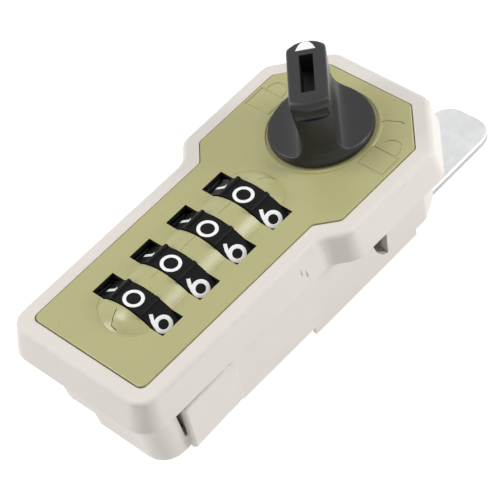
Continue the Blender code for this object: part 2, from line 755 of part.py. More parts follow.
def dial_detent_spring(finish):
    """A strip held in the cheeks, with one sprung finger for each dial."""
    reach = RIB_RADIUS + 0.4 * MM
    low = (DETENT_X, LOWER_CHEEK_TOP - CHEEK_THICKNESS + 0.5 * MM, AXLE_Z - DETENT_LOW)
    high = (DETENT_X + STRIP, UPPER_CHEEK_BOTTOM + CHEEK_THICKNESS - 0.5 * MM, AXLE_Z + DETENT_HIGH)
    spring = box("dial_detent_spring", low, high, finish)
    path = [
        (DETENT_X + STRIP / 2, AXLE_Z - 2.6 * MM),
        (-(reach + 1.0 * MM), AXLE_Z + 0.6 * MM),
        (-(reach + STRIP / 2), AXLE_Z + 2.4 * MM),
        (-(reach + 1.2 * MM), AXLE_Z + 4.4 * MM),
    ]
    for index, y in enumerate(DIAL_Y):
        finger = extruded(f"detent_finger_{index}", ribbon(path, STRIP), y - 2.5 * MM, y + 2.5 * MM, "Y")
        join(spring, finger)
    return spring


def locking_slide(finish):
    """A bar beside the dials with a tooth for each gate and an arm to the drive disc."""
    follower = KNOB_Y - TRACK_RADIUS
    arm_high = follower + FOLLOWER_RADIUS + 0.4 * MM
    arm_low = arm_high - ARM_WIDTH
    tooth = TOOTH_HEIGHT / 2
    outer = SLIDE_OFFSET + SLIDE_THICKNESS
    low = (SLIDE_OFFSET, PLATE_Y + SLIDE_TAIL, AXLE_Z - SLIDE_HEIGHT / 2)
    high = (outer, arm_high, AXLE_Z + SLIDE_HEIGHT / 2)
    slide = box("locking_slide", low, high, finish)
    tip = GATE_RADIUS - GATE_DEPTH + GAP
    for index, y in enumerate(DIAL_Y):
        start = y + TOOTH_START
        lower = (tip, start, AXLE_Z - tooth)
        upper = (SLIDE_OFFSET + OVER, start + TOOTH_THICKNESS, AXLE_Z + tooth)
        join(slide, box(f"slide_tooth_{index}", lower, upper))
    arm_top = DISC_Z - GAP
    lower = (-2.4 * MM, arm_low, arm_top - TOOTH_HEIGHT)
    upper = (SLIDE_OFFSET + OVER, arm_high, arm_top)
    join(slide, box("slide_arm", lower, upper))
    top = DISC_Z + DISC_THICKNESS - 0.2 * MM
    join(slide, rod("slide_follower", (0.0, follower), FOLLOWER_RADIUS, arm_top - OVER, top, 16))
    return slide


def drive_disc(finish):
    """A disc on the spindle whose spiral track moves the slide evenly over a quarter turn."""
    disc = rod("drive_disc", (0.0, KNOB_Y), DISC_RADIUS, DISC_Z, DISC_Z + DISC_THICKNESS, 48, finish=finish)
    low, high = DISC_Z - OVER, DISC_Z + DISC_THICKNESS + OVER
    cut(disc, extruded("disc_square", square(SPINDLE_SQUARE / 2 + GAP), low, high))
    margin = (FOLLOWER_RADIUS + GAP) / TRACK_RADIUS
    path = []
    for step in range(15):
        angle = -math.pi / 2 - margin + (math.pi / 2 + 2 * margin) * step / 14
        share = (angle + math.pi / 2) / (math.pi / 2)
        radius = TRACK_RADIUS + SLIDE_TRAVEL * share
        path.append((radius * math.cos(angle), KNOB_Y + radius * math.sin(angle)))
    cut(disc, extruded("disc_track", ribbon(path, 2 * (FOLLOWER_RADIUS + GAP)), low, high))
    for index, angle in enumerate((math.pi, 1.5 * math.pi)):
        place = (DISC_RADIUS * math.cos(angle), KNOB_Y + DISC_RADIUS * math.sin(angle))
        cut(disc, rod(f"disc_click_{index}", place, 0.9 * MM, low, high, 12))
    return disc


def knob_click_spring(finish):
    """A bent strip that rests beside the drive disc's rim."""
    tip = -(DISC_RADIUS + 0.2 * MM + STRIP / 2)
    wall = CLICK_X + STRIP / 2
    path = [
        (wall + 1.2 * MM, UPPER_CHEEK_BOTTOM - 1.2 * MM),
        (wall, UPPER_CHEEK_BOTTOM - 1.0 * MM),
        (wall, KNOB_Y - 15.0 * MM),
        (tip - 3.0 * MM, KNOB_Y - 6.0 * MM),
        (tip, KNOB_Y),
        (tip - 1.6 * MM, KNOB_Y + 3.0 * MM),
    ]
    low = DISC_Z - 0.3 * MM
    return extruded("knob_click_spring", ribbon(path, STRIP), low, low + 2.4 * MM, finish=finish)


def gusset_shapes():
    """Outlines of the four plates in the housing's corners that the case screws pass through."""
    side = WALL_LOWER
    foot = FOOT_INNER - 1.2 * MM
    lower_right = [
        (side + 0.2 * MM, foot + 4.9 * MM),
        (side + 0.2 * MM, foot + 9.7 * MM),
        (side - 5.1 * MM, foot + 9.7 * MM),
        (side - 9.1 * MM, foot + 5.9 * MM),
        (side - 9.1 * MM, foot),
        (side - 3.0 * MM, foot),
        (side - 0.8 * MM, foot + 1.2 * MM),
    ]
    notch = 0.6 * MM + NOTCH_INNER
    lower_left = [
        (7.1 * MM - notch, foot),
        (7.1 * MM - notch, foot + 8.0 * MM),
        (-notch, foot + 8.0 * MM),
        (-notch, foot),
    ]
    side = WALL_UPPER
    shoulder = HOUSING_SHOULDER
    upper_right = [
        (side + 0.4 * MM, shoulder - 3.7 * MM),
        (side + 0.4 * MM, shoulder - 0.4 * MM),
        (side - 3.5 * MM, shoulder + 6.4 * MM),
        (side - 7.5 * MM, shoulder + 3.8 * MM),
        (side - 6.5 * MM, shoulder - 3.7 * MM),
    ]
    upper_left = [(-x, y) for x, y in upper_right]
    return (lower_right, lower_left, upper_right, upper_left)


def rear_housing(finish):
    step = HOUSING_DRAFT / HOUSING_DEPTH
    ledge = COVER_TOP + GAP
    above = ledge + LEDGE_THICKNESS
    seat = -(HOUSING_DRAFT + HOUSING_WALL - 0.8 * MM)
    rings = [
        housing_ring(0.0, -GAP),
        housing_ring(-step * SKIRT_DEPTH, -SKIRT_DEPTH),
        housing_ring(seat, -SKIRT_DEPTH),
        housing_ring(seat, ledge),
        housing_ring(seat - LEDGE_WIDTH, ledge),
        housing_ring(seat - LEDGE_WIDTH, above),
        housing_ring(-HOUSING_WALL + step * above, above),
        housing_ring(-HOUSING_WALL, -GAP),
    ]
    housing = skin("rear_housing", rings, True, finish)
    wide = HOUSING_HALF + 2 * OVER
    far = PLATE_Y + HOUSING_TOP + 2 * OVER
    near = PLATE_Y - HOUSING_FOOT - 2 * OVER
    deep = -SKIRT_DEPTH - OVER
    cut(
        housing,
        box("lower_trim", (-wide, near, deep), (wide, PLATE_Y + SKIRT_START, -HOUSING_DEPTH)),
        box("upper_trim", (-wide, PLATE_Y + SKIRT_END, deep), (wide, far, -TOP_DEPTH)),
    )
    skin_thick = 1.6 * MM
    lower = (-NOTCH_INNER, PLATE_Y + FOOT_INNER, -HOUSING_DEPTH + 0.1 * MM)
    upper = (FOOT_STEP_X + skin_thick, FOOT_RECESS + skin_thick, -FOOT_STEP_DEPTH + skin_thick)
    join(housing, box("foot_block", lower, upper))
    lower = (-HOUSING_NOTCH_X - OVER, near, deep)
    cut(housing, box("foot_trim", lower, (FOOT_STEP_X, FOOT_RECESS, -FOOT_STEP_DEPTH)))
    near_edge = PLATE_Y + WINDOW_START
    far_edge = near_edge + WINDOW_WIDTH
    sill = WINDOW_SILL - SKIRT_DEPTH
    window = [(far_edge, -WINDOW_TOP), (near_edge, -WINDOW_TOP)]
    window += [(near_edge, sill + 8.2 * MM), (near_edge + WINDOW_WIDTH * 0.24, sill + 3.7 * MM)]
    window += [(near_edge + WINDOW_WIDTH * 0.6, sill + 1.0 * MM), (far_edge, sill)]
    inner = HOUSING_HALF - HOUSING_WALL - HOUSING_DRAFT - LEDGE_WIDTH - OVER
    cut(housing, extruded("side_window", window, inner, wide, "X"))
    for index, middle in enumerate((LOWER_CHEEK_TOP, UPPER_CHEEK_BOTTOM + CHEEK_THICKNESS)):
        half = (HOUSING_LOWER_HALF if index == 0 else HOUSING_HALF) - HOUSING_WALL + 0.4 * MM
        lower = (-half, middle - CHEEK_THICKNESS, -CHEEK_DEPTH)
        upper = (half, middle, -2 * GAP)
        join(housing, box(f"cheek_{index}", lower, upper))
        low, high = middle - CHEEK_THICKNESS - OVER, middle + OVER
        slot = AXLE_RADIUS + GAP
        cut(housing, rod(f"axle_seat_{index}", (0.0, AXLE_Z), slot, low, high, 20, "Y"))
        cut(housing, box(f"axle_way_{index}", (-slot, low, AXLE_Z), (slot, high, OVER)))
        lower = (DETENT_X - GAP, low, AXLE_Z - DETENT_LOW - GAP)
        upper = (DETENT_X + STRIP + GAP, high, OVER)
        cut(housing, box(f"detent_way_{index}", lower, upper))
        rail = SLIDE_HEIGHT / 2 + GAP
        lower = (SLIDE_OFFSET - GAP, low, AXLE_Z - rail)
        upper = (SLIDE_OFFSET + SLIDE_THICKNESS + GAP, high, AXLE_Z + rail)
        cut(housing, box(f"slide_way_{index}", lower, upper))
    low = (CLICK_X - GAP, UPPER_CHEEK_BOTTOM - OVER, DISC_Z - 2 * GAP)
    high = (CLICK_X + STRIP + GAP, UPPER_CHEEK_BOTTOM + CHEEK_THICKNESS + OVER, OVER)
    cut(housing, box("click_way", low, high))
    for index, shape in enumerate(gusset_shapes()):
        outline = [(x, y + PLATE_Y) for x, y in shape]
        low = -GAP - GUSSET_THICKNESS
        join(housing, extruded(f"gusset_{index}", outline, low, -GAP - 0.05 * MM))
        x, y = CASE_SCREW_PLACES[index]
        place = (x, y + PLATE_Y)
        cut(housing, rod(f"case_hole_{index}", place, SMALL_SHANK + GAP, low - OVER, OVER))
    for index, (x, y) in enumerate(COVER_SCREW_PLACES):
        place = (x, y + PLATE_Y)
        join(housing, rod(f"cover_post_{index}", place, POST_RADIUS, ledge + 0.05 * MM, ledge + POST_HEIGHT))
        top = ledge + POST_HEIGHT - 1.5 * MM
        cut(housing, rod(f"cover_hole_{index}", place, SMALL_SHANK + GAP, ledge - OVER, top, 16))
    bridge_top = -BRIDGE_DEPTH + BRIDGE_THICKNESS
    lower = (BUTTON_X - 4.5 * MM, PLATE_Y + FOOT_INNER - 0.6 * MM, -BRIDGE_DEPTH)
    upper = (BUTTON_X + 4.5 * MM, LOWER_CHEEK_TOP - CHEEK_THICKNESS + 0.5 * MM, bridge_top)
    join(housing, box("button_bridge", lower, upper))
    place = (BUTTON_X, BUTTON_Y + PLATE_Y)
    cut(housing, rod("bridge_hole", place, BUTTON_RADIUS + GAP, -BRIDGE_DEPTH - OVER, bridge_top + OVER))
    return housing


def back_cover(finish):
    seat = -(HOUSING_DRAFT + HOUSING_WALL - 0.8 * MM) - GAP
    rings = [housing_ring(seat, -HOUSING_DEPTH), housing_ring(seat, COVER_TOP)]
    cover = skin("back_cover", rings, False, finish)
    notch = 1.6 * MM + GAP
    lower = (-HOUSING_HALF, -HOUSING_FOOT, -HOUSING_DEPTH - OVER)
    cut(cover, box("foot_notch", lower, (FOOT_STEP_X + notch, FOOT_RECESS + notch, COVER_TOP + OVER)))
    low = DIAL_Y[0] - DIAL_WIDTH / 2 - 2.5 * MM
    high = DIAL_Y[-1] + DIAL_WIDTH / 2 + 2.5 * MM
    inside = AXLE_Z - RIB_RADIUS - 2 * GAP
    outside = inside - COVER_THICKNESS
    half = BULGE_HALF
    slope = BULGE_SLOPE
    top = COVER_TOP - COVER_THICKNESS / 2
    shell = [(-half, top), (-half + slope, outside), (half - slope, outside), (half, top)]
    join(cover, extruded("bulge", shell, low, high, "Y"))
    thin = COVER_THICKNESS
    hollow = [
        (-half + thin, COVER_TOP + OVER),
        (-half + thin, top),
        (-half + slope + thin, inside),
        (half - slope - thin, inside),
        (half - thin, top),
        (half - thin, COVER_TOP + OVER),
    ]
    cut(cover, extruded("bulge_hollow", hollow, low + thin, high - thin, "Y"))
    centre = (0.0, KNOB_Y)
    bottom = -CAM_TOP - CAM_SEAT_DEPTH + GAP
    join(cover, rod("tower", centre, TOWER_RADIUS, bottom, -TOWER_TOP, 30))
    cut(cover, rod("tower_bore", centre, TOWER_BORE, bottom - OVER, OVER, 30))
    for index, (x, y) in enumerate(COVER_SCREW_PLACES):
        place = (x, y + PLATE_Y)
        cut(cover, rod(f"cover_screw_way_{index}", place, SMALL_SHANK + GAP, -HOUSING_DEPTH - OVER, 0.0, 16))
    place = (BUTTON_X, BUTTON_Y + PLATE_Y)
    cut(cover, rod("button_way", place, BUTTON_RADIUS + GAP, -HOUSING_DEPTH - OVER, 0.0, 20))
    return cover


def side_clip(side, finish):
    """A plate beside the housing whose front edge catches behind the door, with a hook inwards."""
    name = "side_clip_right" if side > 0 else "side_clip_left"
    slope = HOUSING_DRAFT / HOUSING_DEPTH
    front, back = -DOOR_GAP, -HOUSING_DEPTH + 0.2 * MM
    start = CLIP_START if side > 0 else HOUSING_NOTCH_Y + 1.0 * MM
    low, high = PLATE_Y + start, PLATE_Y + HOUSING_STEP - GAP
    rings = []
    for y in (low, high):
        inner_front = HOUSING_LOWER_HALF + slope * front + GAP
        inner_back = HOUSING_LOWER_HALF + slope * back + GAP
        outer_front = HOUSING_HALF + slope * front
        outer_back = HOUSING_HALF + slope * back
        rings.append([
            (side * inner_front, y, front),
            (side * outer_front, y, front),
            (side * outer_back, y, back),
            (side * inner_back, y, back),
        ])
    clip = skin(name, rings, False, finish)
    middle = (low + high) / 2
    reach = HOUSING_LOWER_HALF - HOUSING_WALL - 1.4 * MM
    xs = sorted((side * reach, side * (HOUSING_HALF - HOUSING_DRAFT)))
    hook_low = CLIP_HOOK_RISE - HOUSING_DEPTH
    lower = (xs[0], middle - CLIP_HOOK / 2, hook_low)
    upper = (xs[1], middle + CLIP_HOOK / 2, hook_low + CLIP_HOOK_THICKNESS)
    hook = box(f"{name}_hook", lower, upper)
    return join(clip, hook)


def clip_ways(housing):
    """Holes in the housing wall for the hooks of the side clips."""
    for side in (1, -1):
        start = CLIP_START if side > 0 else HOUSING_NOTCH_Y + 1.0 * MM
        middle = PLATE_Y + (start + HOUSING_STEP - GAP) / 2
        half = CLIP_HOOK / 2 + GAP
        xs = sorted((side * (HOUSING_LOWER_HALF - HOUSING_WALL - 2.4 * MM), side * (HOUSING_HALF + OVER)))
        hook_low = CLIP_HOOK_RISE - HOUSING_DEPTH
        low = (xs[0], middle - half, hook_low - GAP)
        high = (xs[1], middle + half, hook_low + CLIP_HOOK_THICKNESS + GAP)
        cut(housing, box(f"clip_way_{side}", low, high))
    return housing


def knob_profile():
    """Outline of the knob's end when it is seen from the side, as radius and height."""
    base = PLATE_Z + KNOB_LIFT
    top = base + KNOB_TALL
    ledge = top - KNOB_CHEEK
    tip = KNOB_TIP_RADIUS
    roll = KNOB_ROLL
    return [
        (0.0, base),
        (KNOB_RADIUS - 0.3 * MM, base),
        (KNOB_RADIUS, base + 0.3 * MM),
        (KNOB_RADIUS, base + 1.4 * MM),
        (KNOB_RADIUS - 0.7 * MM, base + 2.7 * MM),
        (KNOB_RADIUS - 1.4 * MM, base + 6.0 * MM),
        (tip + 0.5 * MM, ledge),
        (tip - 0.3 * MM, ledge + 0.2 * MM),
        (tip - 0.3 * MM, ledge + 1.8 * MM),
        (tip, top - roll),
        (tip - roll * 0.3, top - roll * 0.3),
        (tip - roll, top),
        (0.0, top),
    ]


def bar_section():
    """Section across the knob's waisted grip bar and the scoops on its two sides."""
    base = PLATE_Z + KNOB_LIFT - OVER
    top = PLATE_Z + KNOB_LIFT + KNOB_TALL
    rim = KNOB_RADIUS + OVER
    floor = PLATE_Z + KNOB_LIFT
    edge = 0.5 * MM
    half = [(BAR_HALF - edge, top), (BAR_HALF - edge * 0.3, top - edge * 0.3), (BAR_HALF, top - edge)]
    half += [
        (BAR_HALF - 0.2 * MM, floor + 15.5 * MM),
        (BAR_WAIST, floor + 11.5 * MM),
        (BAR_WAIST, floor + 7.0 * MM),
        (BAR_WAIST + 0.5 * MM, floor + 5.0 * MM),
        (BAR_WAIST + 1.5 * MM, floor + 3.4 * MM),
        (BAR_WAIST + 2.9 * MM, floor + 2.5 * MM),
        (BAR_WAIST + 5.0 * MM, floor + 2.1 * MM),
        (rim, floor + 1.2 * MM),
        (rim, base),
    ]
    return half + [(-x, z) for x, z in reversed(half)]


def knob(finish):
    """The knob is built with its bar along X and then turned to the locked position."""
    shape = turned("knob", knob_profile(), (0.0, 0.0), 48, finish=finish)
    section = extruded("bar_tool", bar_section(), -KNOB_RADIUS - OVER, KNOB_RADIUS + OVER, "X")
    boolean(shape, section, "INTERSECT")
    base = PLATE_Z + KNOB_LIFT
    top = base + KNOB_TALL
    neck_end = -DISC_TOP + GAP
    neck = rod("knob_neck", (0.0, 0.0), NECK_RADIUS, neck_end, base + OVER, 36)
    half = SPINDLE_SQUARE / 2 + GAP
    head = SPINDLE_HEAD_TOP + GAP
    socket = box("knob_socket", (-half, -half, neck_end - OVER), (half, half, head))
    width = KEY_SLOT_HALF_WIDTH
    length = KEY_SLOT_HALF_LENGTH
    floor = top - KEY_SLOT_DEPTH
    slot = box("key_slot", (-length, -width, floor), (length, width, top + OVER))
    guide = PLUNGER_HALF_LENGTH + GAP
    way = box("plunger_way", (-guide, -width, head - OVER), (guide, width, floor + OVER))
    foot = PLUNGER_FOOT_HALF_LENGTH + GAP
    chamber = box("foot_way", (-foot, -width, head - OVER), (foot, width, head + 3.2 * MM))
    cross = CROSS_PIN_RADIUS + GAP
    reach = NECK_RADIUS + OVER
    pin_way = rod("pin_way", (0.0, CROSS_PIN_HEIGHT), cross, -reach, reach, 16, "X")
    join(shape, neck)
    cut(shape, socket, slot, way, chamber, pin_way)
    return on_knob_axis([shape, section, neck, socket, slot, way, chamber, pin_way])


def on_knob_axis(things):
    """Stands pieces that were built round the world's Z axis on the knob's axis, turned with it."""
    for thing in things:
        thing.location = (0.0, KNOB_Y, 0.0)
        thing.rotation_euler = (0.0, 0.0, math.radians(KNOB_ANGLE))
    return things[0]


def master_key_plunger(finish):
    head = SPINDLE_HEAD_TOP + GAP
    bottom = head + PLUNGER_TRAVEL + 0.1 * MM
    half = KEY_SLOT_HALF_WIDTH - GAP
    top = PLATE_Z + KNOB_LIFT + KNOB_TALL - KEY_SLOT_DEPTH - 0.4 * MM
    foot = PLUNGER_FOOT_HALF_LENGTH
    length = PLUNGER_HALF_LENGTH
    plunger = box("master_key_plunger", (-foot, -half, bottom), (foot, half, bottom + 1.0 * MM), finish)
    blade = box("plunger_blade", (-length, -half, bottom + 0.5 * MM), (length, half, top))
    join(plunger, blade)
    return on_knob_axis([plunger, blade])


def plunger_spring(finish):
    high = SPINDLE_HEAD_TOP + GAP + PLUNGER_TRAVEL + 0.1 * MM - GAP
    low = high - PLUNGER_SPRING_LENGTH
    return coil("plunger_spring", (0.0, KNOB_Y), 1.45 * MM, 0.25 * MM, low, high, 5, finish)


def knob_spindle(finish):
    """Square head, round journal and a smaller square for the cam, with a bore at each end."""
    half = SPINDLE_SQUARE / 2
    head = box("knob_spindle", (-half, -half, SHOULDER_Z - OVER / 2), (half, half, SPINDLE_HEAD_TOP), finish)
    base = SHOULDER_Z - SHOULDER_THICKNESS
    shoulder = rod("spindle_shoulder", (0.0, 0.0), SHOULDER_RADIUS, base, SHOULDER_Z, 28)
    end = -CAM_TOP + GAP
    journal = rod("spindle_journal", (0.0, 0.0), SPINDLE_RADIUS, end, base + OVER / 2, 28)
    half = CAM_SQUARE / 2
    tail = box("spindle_tail", (-half, -half, -CAM_TOP - CAM_THICKNESS), (half, half, end + OVER))
    join(head, shoulder, journal, tail)
    high = SPINDLE_HEAD_TOP + GAP + PLUNGER_TRAVEL + 0.1 * MM - GAP
    pocket_floor = high - PLUNGER_SPRING_LENGTH - GAP
    pocket = rod("spring_pocket", (0.0, 0.0), 2.1 * MM, pocket_floor, SPINDLE_HEAD_TOP + OVER, 16)
    low = -CAM_TOP - CAM_THICKNESS - OVER
    bore = rod("screw_bore", (0.0, 0.0), SCREW_SHANK + GAP, low, -CAM_TOP + CAM_SCREW_REACH + 3.0 * MM, 20)
    reach = SPINDLE_SQUARE
    cross = rod("spindle_pin_way", (0.0, CROSS_PIN_HEIGHT), CROSS_PIN_RADIUS + GAP, -reach, reach, 16, "X")
    cut(head, pocket, bore, cross)
    return on_knob_axis([head, shoulder, journal, tail, pocket, bore, cross])


def knob_pin(finish):
    reach = NECK_RADIUS - GAP
    pin = rod("knob_pin", (0.0, CROSS_PIN_HEIGHT), CROSS_PIN_RADIUS, -reach, reach, 14, "X", finish)
    return on_knob_axis([pin])


def spindle_bush(finish):
    inner = SPINDLE_RADIUS + GAP
    outer = inner + BUSH_WALL
    top = SHOULDER_Z - SHOULDER_THICKNESS - GAP
    under = -TOWER_TOP + GAP
    bottom = -CAM_TOP + 2 * GAP
    flange = outer + 1.1 * MM
    profile = [(inner, bottom), (outer, bottom), (outer, under), (flange, under), (flange, top), (inner, top)]
    return turned("spindle_bush", profile, (0.0, KNOB_Y), 28, ring=True, finish=finish)


def cam_outline():
    corner = CAM_CORNER
    points = []
    for step in range(13):
        angle = math.pi + math.pi * step / 12
        points.append((CAM_HALF * math.cos(angle), KNOB_Y + CAM_HALF * math.sin(angle)))
    for side, start in ((1, 0.0), (-1, math.pi / 2)):
        for step in range(6):
            angle = start + math.pi / 2 * step / 5
            x = side * (CAM_HALF - corner) + corner * math.cos(angle)
            y = KNOB_Y + CAM_REACH - corner + corner * math.sin(angle)
            points.append((x, y))
    return points


def cam(finish):
    top = -CAM_TOP
    bottom = top - CAM_THICKNESS
    plate = extruded("cam", cam_outline(), bottom, top, finish=finish)
    hole = extruded("cam_hole", square(CAM_SQUARE / 2 + GAP), bottom - OVER, top + OVER)
    cut(plate, hole)
    edge = plate.modifiers.new("edge", "BEVEL")
    edge.width = 0.5 * MM
    edge.segments = 2
    edge.limit_method = "ANGLE"
    edge.angle_limit = math.radians(60)
    reach = TOWER_RADIUS + CAM_SEAT_ROOM
    cut(plate, rod("cam_seat", (0.0, KNOB_Y), reach, top - CAM_SEAT_DEPTH, top + OVER, 48))
    return plate


def cam_washer(finish):
    top = -CAM_TOP - CAM_THICKNESS - GAP
    bottom = top - WASHER_THICKNESS
    inner = SCREW_SHANK + GAP
    profile = [(inner, bottom), (WASHER_RADIUS, bottom), (WASHER_RADIUS, top), (inner, top)]
    return turned("cam_washer", profile, (0.0, KNOB_Y), 24, ring=True, finish=finish)


def cam_screw(finish):
    top = -CAM_TOP - CAM_THICKNESS - GAP - WASHER_THICKNESS - GAP
    bottom = top - SCREW_HEAD_HEIGHT
    head = rod("cam_screw", (0.0, KNOB_Y), SCREW_HEAD_RADIUS, bottom, top, 6, finish=finish)
    shank = rod("cam_screw_shank", (0.0, KNOB_Y), SCREW_SHANK, top - OVER, -CAM_TOP + CAM_SCREW_REACH, 20)
    return join(head, shank)


def small_screws(name, places, seat, length, finish):
    """Like pan-head screws that share one turned mesh, driven upwards from the seat."""
    head = seat - SMALL_HEAD_HEIGHT
    crown = seat - SMALL_HEAD_HEIGHT * 0.6
    tip = seat + length
    profile = [
        (0.0, head),
        (SMALL_HEAD * 0.7, head),
        (SMALL_HEAD, crown),
        (SMALL_HEAD, seat),
        (SMALL_SHANK, seat),
        (SMALL_SHANK, tip),
        (0.0, tip),
    ]
    first = turned(f"{name}_1", profile, (0.0, 0.0), 10, finish=finish)
    for index, (x, y) in enumerate(places):
        screw = first
        if index:
            screw = bpy.data.objects.new(f"{name}_{index + 1}", first.data)
            bpy.context.scene.collection.objects.link(screw)
        screw.location = (x, y + PLATE_Y, 0.0)


def code_change_button(finish):
    place = (BUTTON_X, BUTTON_Y + PLATE_Y)
    flange_low = COVER_TOP + GAP
    low = -HOUSING_DEPTH - BUTTON_PROUD
    top = -BRIDGE_DEPTH + BRIDGE_THICKNESS
    profile = [
        (0.0, low),
        (BUTTON_RADIUS - 0.3 * MM, low),
        (BUTTON_RADIUS, low + 0.3 * MM),
        (BUTTON_RADIUS, flange_low),
        (BUTTON_FLANGE, flange_low),
        (BUTTON_FLANGE, flange_low + 1.0 * MM),
        (BUTTON_RADIUS, flange_low + 1.0 * MM),
        (BUTTON_RADIUS, top),
        (0.0, top),
    ]
    return turned("code_change_button", profile, place, 20, finish=finish)


def button_spring(finish):
    place = (BUTTON_X, BUTTON_Y + PLATE_Y)
    low = COVER_TOP + GAP + 1.0 * MM + GAP
    high = -BRIDGE_DEPTH - GAP
    return coil("button_spring", place, BUTTON_RADIUS + 0.75 * MM, 0.25 * MM, low, high, 5, finish)


def build():
    clear_scene()
    shell = material("warm white plastic", (0.80, 0.77, 0.73), 0.55)
    plate = material("olive plastic", (0.47, 0.45, 0.22), 0.6)
    black = material("dial black plastic", (0.02, 0.02, 0.022), 0.45)
    grip = material("knob charcoal plastic", (0.045, 0.045, 0.05), 0.5)
    inner = material("inner nylon", (0.75, 0.74, 0.70), 0.6)
    steel = material("zinc plated steel", (0.72, 0.73, 0.74), 0.3, 1.0)
    bright = material("galvanised cam steel", (0.78, 0.79, 0.80), 0.28, 1.0)
    brass = material("bush brass", (0.72, 0.55, 0.25), 0.35, 1.0)
    spring = material("spring steel", (0.45, 0.45, 0.47), 0.35, 1.0)

    front_bezel(shell)
    faceplate(plate)
    clip_ways(rear_housing(shell))
    back_cover(shell)
    for side in (1, -1):
        side_clip(side, shell)
    dial_axle(steel)
    for index in range(DIAL_COUNT):
        dial(index, black)
        code_sleeve(index, inner)
    dial_detent_spring(spring)
    locking_slide(steel)
    drive_disc(steel)
    knob_click_spring(spring)
    knob(grip)
    master_key_plunger(black)
    plunger_spring(spring)
    knob_spindle(steel)
    knob_pin(steel)
    spindle_bush(brass)
    cam(bright)
    cam_washer(steel)
    cam_screw(steel)
    small_screws("case_screw", CASE_SCREW_PLACES, -GAP - GUSSET_THICKNESS - GAP, CASE_SCREW_LENGTH, steel)
    small_screws("cover_screw", COVER_SCREW_PLACES, -HOUSING_DEPTH - GAP, COVER_SCREW_LENGTH, steel)
    code_change_button(black)
    button_spring(spring)


build()
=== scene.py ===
"""Combination locker lock, dressed for the photograph's view.

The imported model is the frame: +Z out of the lock's face, +Y along it towards the knob.
Lengths are metres. Every finished piece's object sits at the origin.
"""

import json
import math

import bpy
from mathutils import Matrix, Vector

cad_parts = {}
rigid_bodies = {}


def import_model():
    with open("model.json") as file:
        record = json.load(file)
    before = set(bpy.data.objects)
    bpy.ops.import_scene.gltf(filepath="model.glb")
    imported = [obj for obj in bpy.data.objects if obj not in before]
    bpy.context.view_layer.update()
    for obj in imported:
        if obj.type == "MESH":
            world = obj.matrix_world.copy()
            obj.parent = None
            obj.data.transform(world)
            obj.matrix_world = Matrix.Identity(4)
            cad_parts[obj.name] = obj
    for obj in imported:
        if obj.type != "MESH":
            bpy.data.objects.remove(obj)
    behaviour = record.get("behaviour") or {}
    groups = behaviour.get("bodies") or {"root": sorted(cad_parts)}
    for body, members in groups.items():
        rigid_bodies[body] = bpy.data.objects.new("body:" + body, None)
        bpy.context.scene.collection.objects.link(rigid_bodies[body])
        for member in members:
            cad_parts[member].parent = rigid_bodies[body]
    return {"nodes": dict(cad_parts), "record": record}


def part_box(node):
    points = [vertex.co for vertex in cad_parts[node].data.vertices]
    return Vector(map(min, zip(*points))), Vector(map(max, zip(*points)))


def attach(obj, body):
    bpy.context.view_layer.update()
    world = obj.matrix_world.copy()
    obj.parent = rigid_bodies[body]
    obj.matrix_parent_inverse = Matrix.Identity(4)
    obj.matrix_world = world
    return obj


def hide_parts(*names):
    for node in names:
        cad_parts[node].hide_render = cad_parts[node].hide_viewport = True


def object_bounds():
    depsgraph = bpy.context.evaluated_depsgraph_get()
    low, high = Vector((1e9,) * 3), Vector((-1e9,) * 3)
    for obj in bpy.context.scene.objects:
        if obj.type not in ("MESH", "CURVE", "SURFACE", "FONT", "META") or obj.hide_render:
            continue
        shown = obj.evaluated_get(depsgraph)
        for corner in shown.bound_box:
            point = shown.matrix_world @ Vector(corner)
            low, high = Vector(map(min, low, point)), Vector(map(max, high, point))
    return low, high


for thing in list(bpy.data.objects):
    bpy.data.objects.remove(thing, do_unlink=True)
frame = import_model()
cad_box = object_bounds()
NODES = frame["nodes"]
MM = 0.001

# Faceplate, as in the part's source: its near edge, its front face, the barrel round the dials with
# its bridges and slots, and the room beside the knob that holds the sunk lines of the signs
PLATE_Y = 5.4 * MM
PLATE_Z = 9.5 * MM
BARREL_RADIUS = 16.05 * MM
BRIDGE_HALF = 3.05 * MM
SLOT_REACH = 15.2 * MM
SLOT_HALF = 4.6 * MM
# SLOT_LIT and the SIGN values bound the painted shade on the slot walls and the painted highlight on the
# sunk sign lines
SLOT_LIT = 5.0 * MM
SIGN_HALF = 24.6 * MM
SIGN_BELOW = 14 * MM
SIGN_ABOVE = 18.5 * MM
KNOB_RING = 16.6 * MM
SIGN_DEPTH = 0.6 * MM
SKIN = 0.04 * MM

# Dials, as in the part's source: they turn on the barrel's own axis
AXLE_Z = -4.0 * MM
DIAL_RADIUS = 16.1 * MM
DIAL_PITCH = 13.73 * MM
FIRST_DIAL = 18.6 * MM
DIAL_PLACES = [PLATE_Y + FIRST_DIAL + k * DIAL_PITCH for k in range(4)]

# Printed numbers
STROKE = 1.04 * MM
FLAG_STROKE = 0.4 * STROKE
HALF_NUMBER = 2.5 * MM
INK = 0.05 * MM
INK_LIFT = 0.01 * MM
NUMBER_SHIFT = 0.4 * MM

# Knob, as in the part's source: its axis, its locked position, its foot and its top
KNOB_Y = 94.9 * MM
KNOB_TURN = math.radians(135)
KNOB_BASE = PLATE_Z + 0.4 * MM
KNOB_TOP = KNOB_BASE + 20.7 * MM
KNOB_STEPS = 96
NECK_STEPS = 64
NOSE_PLACE = 5.3 * MM

